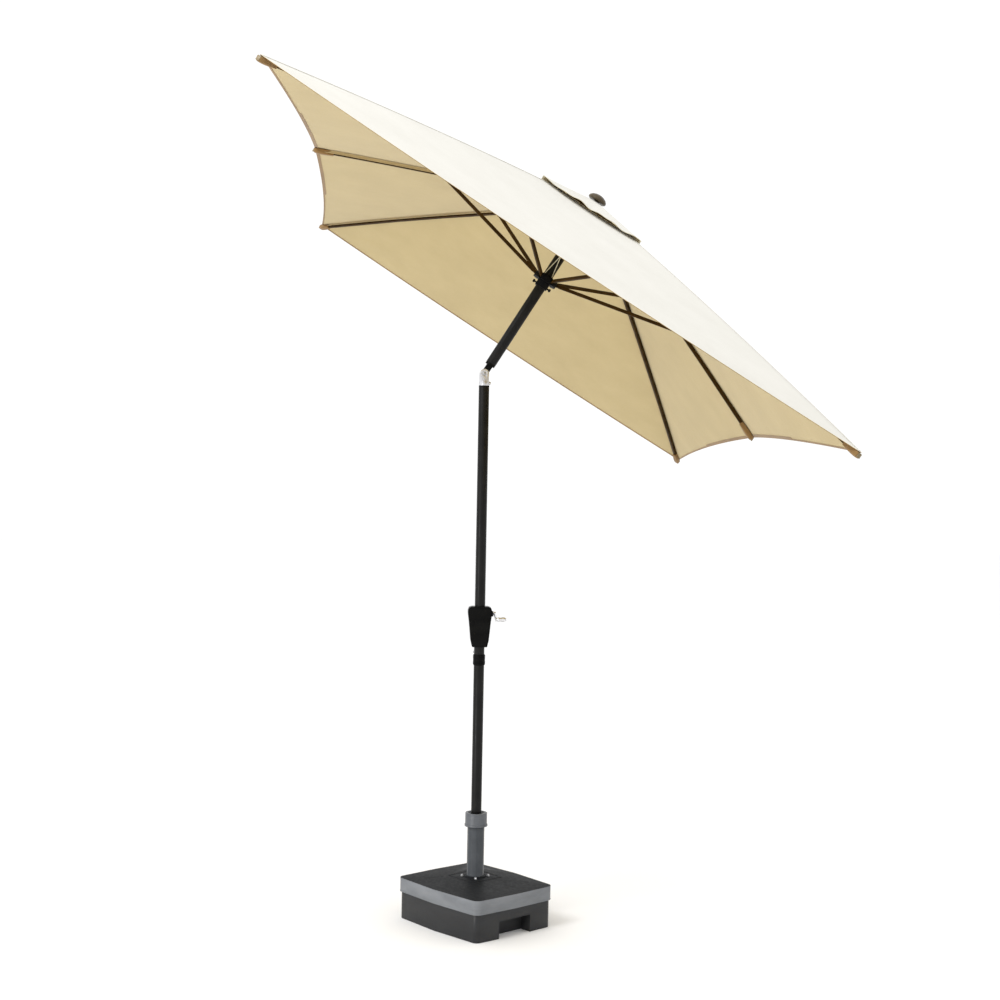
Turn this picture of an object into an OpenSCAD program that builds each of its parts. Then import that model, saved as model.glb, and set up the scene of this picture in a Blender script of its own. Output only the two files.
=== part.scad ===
// Rectangular market umbrella with a crank, a push-button tilt and a fillable base.
// Millimetres, +Z up, origin on the floor under the lower pole; the canopy leans toward +X.

/* [Overall] */
// Canopy width, across the tilt axis
canopy_w = 1950; // [1500:10:2400]
// Canopy length, along the tilt axis
canopy_l = 3000; // [2200:10:3600]
// Lean of the upper pole
tilt = 32; // [0:1:40]
// Height of the tilt pivot above the floor
pivot_h = 2001; // [1700:1:2300]
// Distance along the upper pole from the tilt pivot to the hub pins
hub_up = 715; // [640:1:800]
// Distance along the upper pole from the tilt pivot to the runner pivots
runner_up = 409; // [340:1:480]
// Travel of the runner toward the tilt joint
runner_travel = 300; // [150:1:320]

/* [Canopy] */
// Drop of the corner tips below the hub
corner_drop = 453; // [380:1:560]
// Drop of the middle tips below the hub
middle_drop = 377; // [300:1:460]
// Slope of a corner rib at its pivot
corner_slope = 0.235; // [0.15:0.005:0.3]
// Slope of a middle rib at its pivot
middle_slope = 0.38; // [0.25:0.005:0.45]
// Inward curve of the side edges between ribs
scallop = 24; // [0:1:60]
// Inset of the middle tips from the straight side
middle_inset = 18; // [0:1:60]
// Fabric thickness
cloth_t = 1; // [0.8:0.1:3]
// Gap between cloth and rib
cloth_gap = 0.5; // [0.3:0.1:2]
// Share of each rib left open under the vent
vent_open = 0.12; // [0.08:0.01:0.2]
// Share of each rib covered by the vent cap
vent_cover = 0.195; // [0.14:0.005:0.3]
// Height of the vent cap above the main cloth at its edge
vent_lift = 12; // [10:1:50]

/* [Pole] */
// Outer diameter of all pole tubes
pole_d = 38; // [32:1:50]
// Wall of the pole tubes
pole_wall = 1.5; // [1:0.1:3]
// Height of the pole foot above the floor
pole_foot = 110; // [60:1:160]
// Middle height of the coupling sleeve
coupling_mid = 960; // [800:1:1200]
// Length of the coupling sleeve
coupling_len = 39; // [30:1:80]
// Wall of the coupling sleeve
coupling_wall = 2.75; // [1.5:0.25:6]
// Diameter of the snap button
snap_d = 7; // [4:0.5:10]

/* [Crank] */
// Height of the crank axis
crank_h = 1128; // [900:1:1300]
// Width of the housing at its shoulders
housing_w = 87; // [70:1:110]
// Width of the housing at its foot
housing_foot = 56; // [50:1:80]
// Depth of the housing
housing_d = 60; // [50:1:90]
// Height of the housing
housing_h = 147; // [120:1:200]
// Shell thickness of the housing
housing_wall = 3; // [2:0.5:5]
// Diameter of the crank shaft
shaft_d = 10; // [7:0.5:14]
// Length of the crank arm between its axes
arm_len = 105; // [80:1:140]
// Droop of the crank arm below level
arm_droop = 6; // [0:1:30]
// Diameter of the crank knob
knob_d = 17; // [14:0.5:30]
// Length of the crank knob
knob_len = 30; // [20:1:60]

/* [Frame] */
// Height of a rib bar
rib_h = 14; // [10:0.5:22]
// Width of a rib bar
rib_w = 10; // [8:0.5:16]
// Wall of the rib and strut bars
bar_wall = 1; // [0.8:0.1:2]
// Height of a strut bar
strut_h = 12; // [9:0.5:18]
// Width of a strut bar
strut_w = 8; // [6:0.5:12]
// Distance along a rib from the hub pin to the strut pivot
strut_at = 500; // [400:1:600]
// Offset of the strut pivot below the rib axis
strut_off = 16; // [14:0.5:24]
// Diameter of the frame pins
pin_d = 5; // [3:0.5:8]
// Distance of the hub pins from the pole's surface
hub_pin_out = 11; // [8:0.5:20]
// Distance of the runner pivots from the pole's surface
runner_pin_out = 18; // [15:0.5:28]
// Length of a rib's end cap
tip_len = 14; // [10:1:30]
// Wall of a rib's end cap
tip_wall = 1.5; // [1:0.1:3]

/* [Base] */
// Width of the lid along the face with the hand notch
base_w = 370; // [300:1:460]
// Length of the lid along the other faces
base_l = 446; // [370:1:540]
// Turn of the base about the pole
base_turn = 38.5; // [0:0.5:90]
// Corner radius of the lid
base_r = 28; // [10:1:60]
// Outward bend at the middle of the notch face and of the face behind it
notch_bulge = 5; // [0:1:15]
// Outward bend at the middle of the two long faces
side_bulge = 11; // [0:1:18]
// Height of the tank
tank_h = 100; // [70:1:140]
// Inset of the tank under the lid
tank_inset = 6; // [3:1:20]
// Wall of the tank and the lid
tank_wall = 3; // [2:0.5:6]
// Wall of the lid's sloping top
lid_wall = 3; // [2:0.5:6]
// Height of the lid's skirt
skirt_h = 50; // [30:1:80]
// Rise of the lid from its edge to the central panel
lid_rise = 18; // [6:1:40]
// Side of the central panel
panel_side = 140; // [100:1:200]
// Width of the hand notch
notch_w = 147; // [100:1:180]
// Height of the hand notch
notch_h = 62; // [40:1:80]
// Depth of the hand notch
notch_d = 45; // [25:1:70]
// Depth of the filling
fill_h = 84; // [40:1:90]

/* [Socket] */
// Circumscribed diameter of the twelve-sided tube
socket_d = 62; // [56:1:80]
// Bore of the twelve-sided tube
socket_bore = 48; // [44:1:60]
// Height of the top of the tube
socket_top = 368; // [300:1:450]
// Diameter of the clamp ring
clamp_d = 84; // [76:1:100]
// Bottom of the clamp ring
clamp_z = 353; // [290:1:430]
// Height of the clamp ring
clamp_h = 49; // [35:1:70]
// Diameter of the filler cap
cap_d = 46; // [36:1:60]
// Height of the filler boss above the skirt
filler_up = 19; // [18:1:24]
// Distance of the filler cap from the pole
filler_off = 122; // [100:1:150]
// Height of the vent cloth's middle above the hub
vent_up = 10; // [8:1:14]
// Height of the finial's stem
stem_len = 16; // [14:1:24]

/* [Fits] */
// Radial clearance of a pin in its hole
pin_fit = 0.06; // [0.02:0.01:0.1]
// Radial clearance of sliding tubes
slide_fit = 0.3; // [0.1:0.05:0.6]
// Side clearance of a blade in its slot
blade_fit = 0.4; // [0.3:0.1:1]

/* [Output] */
// Which piece to draw

/* [Hidden] */
$fn = 64;
pole_r = pole_d / 2;
coupling_d = pole_d + 2 * coupling_wall;
hub_pin_r = pole_r + hub_pin_out;
runner_pin_r = pole_r + runner_pin_out;
bore_r = pole_r - pole_wall;
pin_r = pin_d / 2;
half_w = canopy_w / 2;
half_l = canopy_l / 2;
corner_reach = sqrt(half_w * half_w + half_l * half_l);
corner_az = atan2(half_l, half_w);
middle_reach = half_w - middle_inset;
corner_run = corner_reach - hub_pin_r;
middle_run = middle_reach - hub_pin_r;
// Fall of the side panels' cloth away from a corner rib, per millimetre aside
cloth_fall = (2 * corner_drop / corner_run - corner_slope) * canopy_l / canopy_w;
cloth_up = rib_h / 2 + cloth_gap + cloth_fall * (rib_w / 2 + tip_wall);
hub_r = hub_pin_r + 8;
hub_lo = hub_up - 18;
hub_hi = hub_up + 18;
cap_up = hub_hi + stem_len;
knuckle_r = pole_r;
cheek_t = 8;
tongue_w = pole_d - 2 * cheek_t - 2 * blade_fit - 4;
tube_start = 44;
mast_top = pivot_h - 43;
lid_z = tank_h + skirt_h;
panel_z = lid_z + lid_rise;
cord_r = 1.25;
cord_x = 8;
pulley_r = 10;
pulley_up = hub_up - 55;
pulley_y = -11;
knot_up = runner_up + 100;
runner_lo = runner_up - 34;
runner_hi = runner_up + 16;
arm_x = housing_w / 2 + 8;
arm_t = 6;

// Azimuth, reach, run, drop and slope of each rib, going round from the right
RIBS = [
    [0, middle_run, middle_drop, middle_slope],
    [corner_az, corner_run, corner_drop, corner_slope],
    [180 - corner_az, corner_run, corner_drop, corner_slope],
    [180, middle_run, middle_drop, middle_slope],
    [180 + corner_az, corner_run, corner_drop, corner_slope],
    [360 - corner_az, corner_run, corner_drop, corner_slope]
];
MR = 0;
FR = 1;
FL = 2;
ML = 3;
NL = 4;
NR = 5;

// ---- shared shapes ----

module upper_frame() {
    translate([0, 0, pivot_h])
        rotate([0, tilt, 0])
            children();
}

module along_x(r, x0, x1) {
    translate([x0, 0, 0])
        rotate([0, 90, 0])
            cylinder(r = r, h = x1 - x0);
}

module along_y(r, y0, y1) {
    translate([0, y1, 0])
        rotate([90, 0, 0])
            cylinder(r = r, h = y1 - y0);
}

module tube(r, wall, z0, z1) {
    difference() {
        translate([0, 0, z0])
            cylinder(r = r, h = z1 - z0);
        translate([0, 0, z0 - 1])
            cylinder(r = r - wall, h = z1 - z0 + 2);
    }
}

// Half length, distance and outward bend of the q-th face, going round from the notch
function face(q) = q % 2 == 0 ? [base_w / 2, base_l / 2, notch_bulge] : [base_l / 2, base_w / 2, side_bulge];

// The base's outline, a distance in from the lid's
module base_outline(cut) {
    r = base_r - cut;
    w = base_w / 2 - cut;
    l = base_l / 2 - cut;
    square([2 * w - 2 * r, 2 * l], center = true);
    square([2 * w, 2 * l - 2 * r], center = true);
    for (sx = [-1, 1], sy = [-1, 1])
        translate([sx * (w - r), sy * (l - r)])
            circle(r = r);
    for (q = [0:3]) {
        a = face(q)[0] - base_r;
        d = face(q)[1] - cut;
        rotate(q * 90)
            polygon([[-a, 1 - d], [-a, -d], [0, -d - face(q)[2]], [a, -d], [a, 1 - d]]);
    }
}

// ---- base ----

module notch_cut(grow) {
    translate([0, -base_l / 2 - notch_bulge - 1, -1])
        linear_extrude(height = notch_h + 1 + grow)
            translate([-notch_w / 2 - grow, 0])
                square([notch_w + 2 * grow, notch_d + tank_inset + notch_bulge + 1 + grow]);
}

module tank_room(inset, h) {
    linear_extrude(height = h)
        base_outline(tank_inset + inset);
}

module tank() {
    color([0.16, 0.16, 0.17])
        rotate(base_turn)
            difference() {
                tank_room(0, tank_h);
                difference() {
                    translate([0, 0, tank_wall])
                        tank_room(tank_wall, tank_h);
                    notch_cut(tank_wall);
                    cylinder(d = socket_d + 10, h = 16);
                }
                notch_cut(0);
                translate([0, 0, 8])
                    cylinder(d = socket_d + 1, h = 20);
            }
}

module ballast() {
    color([0.76, 0.70, 0.58])
        rotate(base_turn)
            difference() {
                translate([0, 0, tank_wall])
                    tank_room(tank_wall + slide_fit, fill_h);
                notch_cut(tank_wall + slide_fit);
                cylinder(d = socket_d + 12, h = tank_h);
            }
}

function lid_rim(z) =
    let (e = 0.2, c = e + 0.3 * base_r)
        [for (q = [0:3])
            let (a = face(q)[0], d = face(q)[1])
                for (pt = [[base_r - a, e - d], [0, e - d - face(q)[2]], [a - base_r, e - d], [a - c, c - d]])
                    [pt[0] * cos(90 * q) - pt[1] * sin(90 * q), pt[0] * sin(90 * q) + pt[1] * cos(90 * q), z]];

module lid_pyramid() {
    p = panel_side / 2;
    polyhedron(
        points = concat(
            lid_rim(lid_z - 1),
            lid_rim(lid_z),
            [[-p, -p, panel_z], [p, -p, panel_z], [p, p, panel_z], [-p, p, panel_z]]
        ),
        faces = concat(
            [[for (k = [0:15]) k]],
            [for (k = [0:15]) [k, 16 + k, 16 + (k + 1) % 16]],
            [for (k = [0:15]) [k, 16 + (k + 1) % 16, (k + 1) % 16]],
            [for (q = [0:3]) [32 + q, 17 + 4 * q, 16 + 4 * q]],
            [for (q = [0:3]) [32 + q, 32 + (q + 1) % 4, 17 + 4 * q]],
            [for (q = [0:3]) [32 + (q + 1) % 4, 18 + 4 * q, 17 + 4 * q]],
            [for (q = [0:3]) [32 + (q + 1) % 4, 19 + 4 * q, 18 + 4 * q]],
            [for (q = [0:3]) [32 + (q + 1) % 4, 16 + (4 * q + 4) % 16, 19 + 4 * q]],
            [[35, 34, 33, 32]]
        )
    );
}

module lid() {
    color([0.23, 0.24, 0.25])
        rotate(base_turn)
            difference() {
                union() {
                    translate([0, 0, tank_h])
                        linear_extrude(height = skirt_h)
                            base_outline(0);
                    lid_pyramid();
                    translate([0, 0, panel_z - 2])
                        tube(socket_d / 2 + 9, 5, 0, 7);
                    filler_at()
                        translate([0, 0, lid_z - 6])
                            cylinder(d = cap_d + 6, h = filler_up + 6);
                }
                translate([0, 0, tank_h - 1])
                    linear_extrude(height = skirt_h - tank_wall + 1)
                        base_outline(tank_wall);
                intersection() {
                    translate([0, 0, -lid_wall])
                        lid_pyramid();
                    translate([0, 0, lid_z - lid_wall - 1])
                        linear_extrude(height = lid_rise)
                            base_outline(tank_wall);
                }
                translate([0, 0, tank_h])
                    cylinder(d = socket_d + 0.6, h = panel_z);
                filler_at()
                    translate([0, 0, tank_h])
                        cylinder(d = cap_d - 14 + 2 * slide_fit, h = panel_z);
            }
}

module filler_at() {
    rotate(90 - base_turn)
        translate([filler_off, 0, 0])
            children();
}

module filler_cap() {
    color([0.12, 0.12, 0.13])
        rotate(base_turn)
            filler_at()
                difference() {
                    union() {
                        translate([0, 0, lid_z + filler_up + slide_fit])
                            cylinder(d = cap_d, h = 9);
                        translate([0, 0, lid_z - 14])
                            cylinder(d = cap_d - 14, h = filler_up + 18);
                    }
                    translate([0, 0, lid_z - 15])
                        cylinder(d = cap_d - 20, h = 22);
                    for (k = [0:11])
                        rotate(30 * k)
                            translate([cap_d / 2 + 1, 0, lid_z + filler_up])
                                cylinder(d = 6, h = 12);
                }
}

module socket_tube() {
    color([0.40, 0.41, 0.43])
        difference() {
            union() {
                translate([0, 0, 8])
                    linear_extrude(height = clamp_z - 5 - 8)
                        circle(d = socket_d, $fn = 12);
                translate([0, 0, 8])
                    cylinder(d = socket_d - 5, h = socket_top - 8);
                translate([0, 0, panel_z])
                    cylinder(d = socket_d + 7, h = 3);
            }
            translate([0, 0, pole_foot])
                cylinder(d = socket_bore, h = socket_top);
            translate([0, 0, 20])
                cylinder(d = socket_bore, h = pole_foot - 28);
        }
}

module socket_bolts() {
    color([0.7, 0.7, 0.72])
        for (k = [0:3])
            rotate(90 * k)
                translate([socket_d / 2 + 17, 0, panel_z]) {
                    cylinder(d = 11, h = 2);
                    translate([0, 0, 2])
                        cylinder(d = 9, h = 5, $fn = 6);
                }
}

module collet() {
    color([0.10, 0.10, 0.11])
        difference() {
            tube(socket_bore / 2, socket_bore / 2 - pole_r - slide_fit, socket_top - 70, socket_top + 10);
            for (k = [0:3])
                rotate(45 + 90 * k)
                    translate([0, -1.5, socket_top - 20])
                        cube([socket_bore, 3, 40]);
        }
}

module clamp_ring() {
    color([0.49, 0.50, 0.52])
        difference() {
            union() {
                translate([0, 0, clamp_z])
                    cylinder(d = clamp_d, h = 7);
                translate([0, 0, clamp_z + 7])
                    linear_extrude(height = clamp_h - 7)
                        circle(d = clamp_d - 4, $fn = 12);
            }
            translate([0, 0, clamp_z - 1])
                cylinder(d = socket_d - 5 + 2 * slide_fit, h = socket_top - clamp_z + 1 + 0.5);
            translate([0, 0, clamp_z])
                cylinder(d = socket_bore + 2 * slide_fit, h = socket_top - clamp_z + 12);
            translate([0, 0, clamp_z])
                cylinder(r = pole_r + 1.5, h = clamp_h + 1);
            translate([0, 0, clamp_z + clamp_h - 16])
                rotate_extrude()
                    polygon([[0, 0], [pole_r + 1.5, 0], [clamp_d / 2 - 10, 17], [0, 17]]);
        }
}

// ---- mast ----

module lower_tube() {
    color([0.12, 0.12, 0.11])
        difference() {
            tube(pole_r, pole_wall, pole_foot, coupling_mid);
            translate([0, 0, coupling_mid + coupling_len / 2 - 60])
                along_x(snap_d / 2 + 0.2, -pole_r - 5, 0);
        }
}

module coupling_sleeve() {
    color([0.10, 0.10, 0.10])
        rotate_extrude()
            polygon([[pole_r, -coupling_len / 2 + coupling_mid],
                     [pole_r + 0.8, -coupling_len / 2 + coupling_mid],
                     [coupling_d / 2, -coupling_len / 2 + coupling_mid + 4],
                     [coupling_d / 2, coupling_len / 2 + coupling_mid - 1.5],
                     [coupling_d / 2 - 1, coupling_len / 2 + coupling_mid],
                     [pole_r, coupling_len / 2 + coupling_mid]]);
}

module snap_button() {
    color([0.55, 0.55, 0.57])
        translate([0, 0, coupling_mid + coupling_len / 2 + 9]) {
            along_x(snap_d / 2, -pole_r - 4, -bore_r + 2);
            along_x(snap_d / 2 + 1.5, -bore_r + 1.3, -bore_r + 3);
        }
}

module mast_tube() {
    color([0.12, 0.12, 0.11])
        difference() {
            tube(pole_r, pole_wall, coupling_mid, mast_top);
            translate([0, 0, crank_h])
                along_x(shaft_d / 2 + 0.5, -pole_r - 5, pole_r + 5);
            translate([0, 0, coupling_mid + coupling_len / 2 + 9])
                along_x(snap_d / 2 + 0.2, -pole_r - 5, 0);
        }
}

module housing_profile(inset) {
    top = crank_h + 27 - inset;
    low = crank_h + 27 - housing_h + inset;
    w = housing_w / 2 - inset;
    f = housing_foot / 2 - inset;
    polygon([[-f + 2, low], [f - 2, low], [f, low + 3], [f + 5, low + 25], [w - 4, top - 55],
             [w, top - 26], [w, top - 14], [w - 4, top - 4], [w - 14, top], [-w + 14, top],
             [-w + 4, top - 4], [-w, top - 14], [-w, top - 26], [-w + 4, top - 55],
             [-f - 5, low + 25], [-f, low + 3]]);
}

module crank_housing() {
    color([0.13, 0.13, 0.12])
        difference() {
            union() {
                translate([0, housing_d / 2 - 5, 0])
                    rotate([90, 0, 0])
                        linear_extrude(height = housing_d - 10)
                            housing_profile(0);
                translate([0, housing_d / 2, 0])
                    rotate([90, 0, 0])
                        linear_extrude(height = housing_d)
                            housing_profile(5);
                translate([0, 0, crank_h])
                    along_x(shaft_d / 2 + 5, housing_w / 2 - 3, housing_w / 2 + 4);
            }
            difference() {
                translate([0, housing_d / 2 - 5 - housing_wall, 0])
                    rotate([90, 0, 0])
                        linear_extrude(height = housing_d - 10 - 2 * housing_wall)
                            housing_profile(housing_wall + 4);
                translate([0, 0, crank_h])
                    along_x(shaft_d / 2 + 4, -housing_w, housing_w);
            }
            cylinder(r = pole_r, h = pivot_h);
            translate([0, 0, crank_h])
                along_x(shaft_d / 2 + pin_fit, 0, housing_w);
            for (sz = [-1, 1])
                translate([sz * (housing_foot / 2 - 6), 0, crank_h - 20 * sz - 50])
                    along_y(2.5, -housing_d / 2 - 1, -housing_d / 2 + 3);
        }
}

module housing_screws() {
    color([0.2, 0.2, 0.2])
        for (sz = [-1, 1])
            translate([sz * (housing_foot / 2 - 6), 0, crank_h - 20 * sz - 50])
                along_y(2.5, -housing_d / 2 + 0.6, -housing_d / 2 + 3);
}

module crank() {
    color([0.75, 0.75, 0.76])
        translate([0, 0, crank_h])
            rotate([arm_droop, 0, 0]) {
                along_x(shaft_d / 2, 13, arm_x);
                along_x(8, arm_x, arm_x + arm_t);
                translate([arm_x, -arm_len, -5])
                    cube([arm_t, arm_len, 10]);
                translate([0, -arm_len, 0]) {
                    along_x(7, arm_x, arm_x + arm_t);
                    along_x(3, arm_x, arm_x + arm_t + knob_len + 1);
                    along_x(5, arm_x + arm_t + knob_len + 1, arm_x + arm_t + knob_len + 3);
                }
            }
}

module crank_spool() {
    color([0.6, 0.6, 0.6])
        translate([0, 0, crank_h]) {
            along_x(6.75, -8, 8);
            along_x(10, -13, -8);
            along_x(10, 8, 13);
        }
}

module crank_knob() {
    color([0.72, 0.72, 0.74])
        translate([0, 0, crank_h])
            rotate([arm_droop, 0, 0])
                translate([arm_x + arm_t + 0.5, -arm_len, 0])
                    rotate([0, 90, 0])
                        rotate_extrude()
                            polygon([[3 + pin_fit, 0], [knob_d / 2 - 2, 0], [knob_d / 2 - 1, 2],
                                     [knob_d / 2 - 1.5, 12], [knob_d / 2, knob_len - 8],
                                     [knob_d / 2 - 1.5, knob_len - 1], [knob_d / 2 - 3, knob_len],
                                     [3 + pin_fit, knob_len]]);
}

module knuckle_lower() {
    color([0.72, 0.72, 0.74])
        difference() {
            union() {
                translate([0, 0, mast_top - 34])
                    cylinder(r = bore_r, h = 35);
                translate([0, 0, mast_top])
                    cylinder(r = knuckle_r, h = 17);
                for (s = [-1, 1])
                    translate([0, s * (knuckle_r - 2 - cheek_t / 2), 0])
                        intersection() {
                            translate([-knuckle_r + 2, -cheek_t / 2, mast_top])
                                cube([2 * knuckle_r - 4, cheek_t, pivot_h - mast_top + knuckle_r]);
                            union() {
                                translate([0, 0, pivot_h])
                                    along_y(knuckle_r - 2, -cheek_t, cheek_t);
                                translate([-knuckle_r, -cheek_t, mast_top])
                                    cube([2 * knuckle_r, 2 * cheek_t, pivot_h - mast_top]);
                            }
                        }
            }
            translate([0, 0, pivot_h])
                along_y(4, -knuckle_r - 1, knuckle_r + 1);
            translate([cord_x, 0, mast_top - 40])
                cylinder(r = 2.5, h = 80);
            translate([0, 0, mast_top + 8])
                along_x(6 + pin_fit, 11, knuckle_r + 1);
        }
}

module tilt_pin() {
    color([0.5, 0.5, 0.52])
        translate([0, 0, pivot_h]) {
            along_y(4, -knuckle_r + 2, knuckle_r - 2);
            along_y(6, -knuckle_r, -knuckle_r + 2);
            along_y(6, knuckle_r - 2, knuckle_r);
        }
}

module tilt_button() {
    color([0.8, 0.8, 0.82])
        translate([0, 0, mast_top + 8])
            along_x(6, 15.5, knuckle_r + 5);
}

module cord_mast() {
    color([0.85, 0.84, 0.78])
        translate([cord_x, 0, crank_h + 10.5])
            cylinder(r = cord_r, h = pivot_h - crank_h - 10.5 - 21, $fn = 24);
}

module knuckle_upper() {
    color([0.11, 0.11, 0.11])
        difference() {
            upper_frame()
                difference() {
                    union() {
                        along_y(knuckle_r - 3, -tongue_w / 2, tongue_w / 2);
                        translate([-12, -tongue_w / 2, 0])
                            cube([24, tongue_w, tube_start - 6]);
                        translate([0, 0, tube_start - 8])
                            cylinder(r = knuckle_r - 0.5, h = 8);
                        translate([0, 0, tube_start])
                            cylinder(r = bore_r, h = 34);
                    }
                    along_y(4 + pin_fit, -pole_d, pole_d);
                    translate([cord_x, 0, 0])
                        cylinder(r = 2.5, h = 100);
                }
            translate([cord_x, 0, pivot_h - 30])
                cylinder(r = 2.5, h = 30);
        }
}

// ---- upper pole ----

module upper_tube() {
    color([0.12, 0.12, 0.11])
        upper_frame()
            difference() {
                tube(pole_r, pole_wall, tube_start, hub_lo + 6);
                translate([cord_x - 4.5, -pole_d, pulley_up - 18])
                    cube([9, pole_d - 8, 34]);
                translate([0, pulley_y, pulley_up])
                    along_x(2 + pin_fit, -pole_d, pole_d);
            }
}

module cord_upper() {
    color([0.85, 0.84, 0.78])
        upper_frame()
            translate([cord_x, 0.25, 4])
                cylinder(r = cord_r, h = pulley_up - 4, $fn = 24);
}

module hub() {
    color([0.10, 0.10, 0.10])
        upper_frame()
            difference() {
                translate([0, 0, hub_lo])
                    cylinder(r = hub_r, h = hub_hi - hub_lo);
                translate([0, 0, hub_lo - 1])
                    cylinder(r = pole_r, h = 7);
                for (rib = RIBS)
                    rotate(rib[0]) {
                        translate([pole_r + 2.5, -rib_w / 2 - blade_fit, hub_lo - 1])
                            cube([hub_r, rib_w + 2 * blade_fit, hub_hi - hub_lo - 5]);
                        translate([hub_pin_r, 0, hub_up])
                            along_y(pin_r, -rib_w / 2 - 4, rib_w / 2 + 4);
                    }
            }
}

module hub_pins() {
    color([0.6, 0.6, 0.62])
        upper_frame()
            for (rib = RIBS)
                rotate(rib[0])
                    translate([hub_pin_r, 0, hub_up])
                        along_y(pin_r, -rib_w / 2 - 4, rib_w / 2 + 4);
}

module pulley() {
    color([0.7, 0.7, 0.7])
        upper_frame()
            translate([0, pulley_y, pulley_up]) {
                along_x(2, -pole_r, pole_r);
                translate([cord_x, 0, 0])
                    rotate([0, 90, 0])
                        rotate_extrude()
                            polygon([[1, -3], [pulley_r, -3], [pulley_r - 1.4, 0], [pulley_r, 3], [1, 3]]);
            }
}

module finial() {
    color([0.22, 0.19, 0.16])
        upper_frame()
            rotate_extrude()
                polygon([[0, hub_hi], [9, hub_hi], [9, cap_up + 1], [30, cap_up],
                         [35, cap_up + 3], [36, cap_up + 7], [34, cap_up + 12], [28, cap_up + 18],
                         [18, cap_up + 23], [8, cap_up + 25], [0, cap_up + 25.5]]);
}

// ---- runner ----

module runner() {
    color([0.09, 0.09, 0.09])
        upper_frame()
            difference() {
                union() {
                    translate([0, 0, runner_lo])
                        cylinder(r = pole_r + 5, h = runner_hi - runner_lo);
                    translate([0, 0, runner_up - 10])
                        cylinder(r = runner_pin_r + 9, h = 20);
                }
                translate([0, 0, runner_lo - 1])
                    cylinder(r = pole_r + slide_fit, h = runner_hi - runner_lo + 2);
                for (rib = RIBS)
                    rotate(rib[0])
                        translate([pole_r + 5, -strut_w / 2 - 1, runner_up - 20])
                            cube([runner_pin_r, strut_w + 2, 60]);
            }
}

module runner_knobs() {
    color([0.08, 0.08, 0.08])
        upper_frame()
            for (s = [-1, 1])
                translate([s * (pole_r + 5), 0, runner_lo + 8])
                    rotate([0, 90 * s, 0])
                        rotate_extrude()
                            polygon([[0, 0], [3, 0], [3, 5], [5.5, 6.5], [6.5, 9.5], [5.5, 12.5],
                                     [3, 14], [0, 14]]);
}

function rod_ring(p, n, r, k) =
    let (u = norm([n[1], -n[0], 0]) > 0.01 ? [n[1], -n[0], 0] / norm([n[1], -n[0], 0]) : [1, 0, 0],
         w = cross(n, u) / norm(cross(n, u)))
        p + r * (cos(k * 45) * u + sin(k * 45) * w);

module rod(a, b, r) {
    n = (b - a) / norm(b - a);
    polyhedron(
        points = concat([for (k = [0:7]) rod_ring(a, n, r, k)], [for (k = [0:7]) rod_ring(b, n, r, k)]),
        faces = concat([[for (k = [0:7]) k]], [[for (k = [0:7]) 15 - k]],
                       [for (k = [0:7]) [k, k + 8, (k + 1) % 8 + 8]],
                       [for (k = [0:7]) [k, (k + 1) % 8 + 8, (k + 1) % 8]])
    );
}

module lift_cord() {
    front = pulley_y - pulley_r - cord_r - 0.4;
    color([0.88, 0.86, 0.78])
        upper_frame() {
            rod([cord_x, front, pulley_up], [0, front - 3, knot_up], cord_r);
            translate([0, front - 3, knot_up])
                sphere(r = 4, $fn = 24);
            for (s = [-1, 1])
                rod([0, front - 3, knot_up], [s * 15, -pole_r - 3.4, runner_hi + 0.4], cord_r);
        }
}

// ---- ribs, struts and cloth ----

function bend(rib) = (rib[2] - rib[3] * rib[1]) / (rib[1] * rib[1]);
function rib_z(rib, x) = hub_up - rib[3] * x - bend(rib) * x * x;
function rib_pt(rib, s, up) = [
    (hub_pin_r + s * rib[1]) * cos(rib[0]),
    (hub_pin_r + s * rib[1]) * sin(rib[0]),
    rib_z(rib, s * rib[1]) + up
];
function strut_x(rib) = strut_at * cos(atan(rib[3]));
function strut_z(rib) = rib_z(rib, strut_x(rib)) - strut_off;

module rib_outline(rib, h, x0, x1) {
    n = 12;
    polygon(concat(
        [for (k = [0:n]) let (x = x0 + (x1 - x0) * k / n) [x, rib_z(rib, x) + h]],
        [for (k = [n:-1:0]) let (x = x0 + (x1 - x0) * k / n) [x, rib_z(rib, x) - h]]
    ));
}

module rib_bar(rib) {
    end = rib[1] - tip_len;
    color([0.16, 0.12, 0.08])
        upper_frame()
            rotate(rib[0])
                translate([hub_pin_r, 0, 0]) {
                    difference() {
                        union() {
                            translate([0, rib_w / 2, 0])
                                rotate([90, 0, 0])
                                    linear_extrude(height = rib_w)
                                        rib_outline(rib, rib_h / 2, 0, end);
                            translate([0, 0, hub_up])
                                along_y(rib_h / 2, -rib_w / 2, rib_w / 2);
                        }
                        translate([0, rib_w / 2 - bar_wall, 0])
                            rotate([90, 0, 0])
                                linear_extrude(height = rib_w - 2 * bar_wall)
                                    rib_outline(rib, rib_h / 2 - bar_wall, 14, end + 1);
                        translate([0, 0, hub_up])
                            along_y(pin_r + pin_fit, -rib_w, rib_w);
                    }
                    for (s = [-1, 1])
                        translate([strut_x(rib), s * (rib_w / 2 + 1), strut_z(rib)])
                            difference() {
                                union() {
                                    along_y(7, -1, 1);
                                    translate([-7, -1, 0])
                                        cube([14, 2, strut_off + 2]);
                                }
                                along_y(pin_r + pin_fit, -2, 2);
                            }
                }
}

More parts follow.
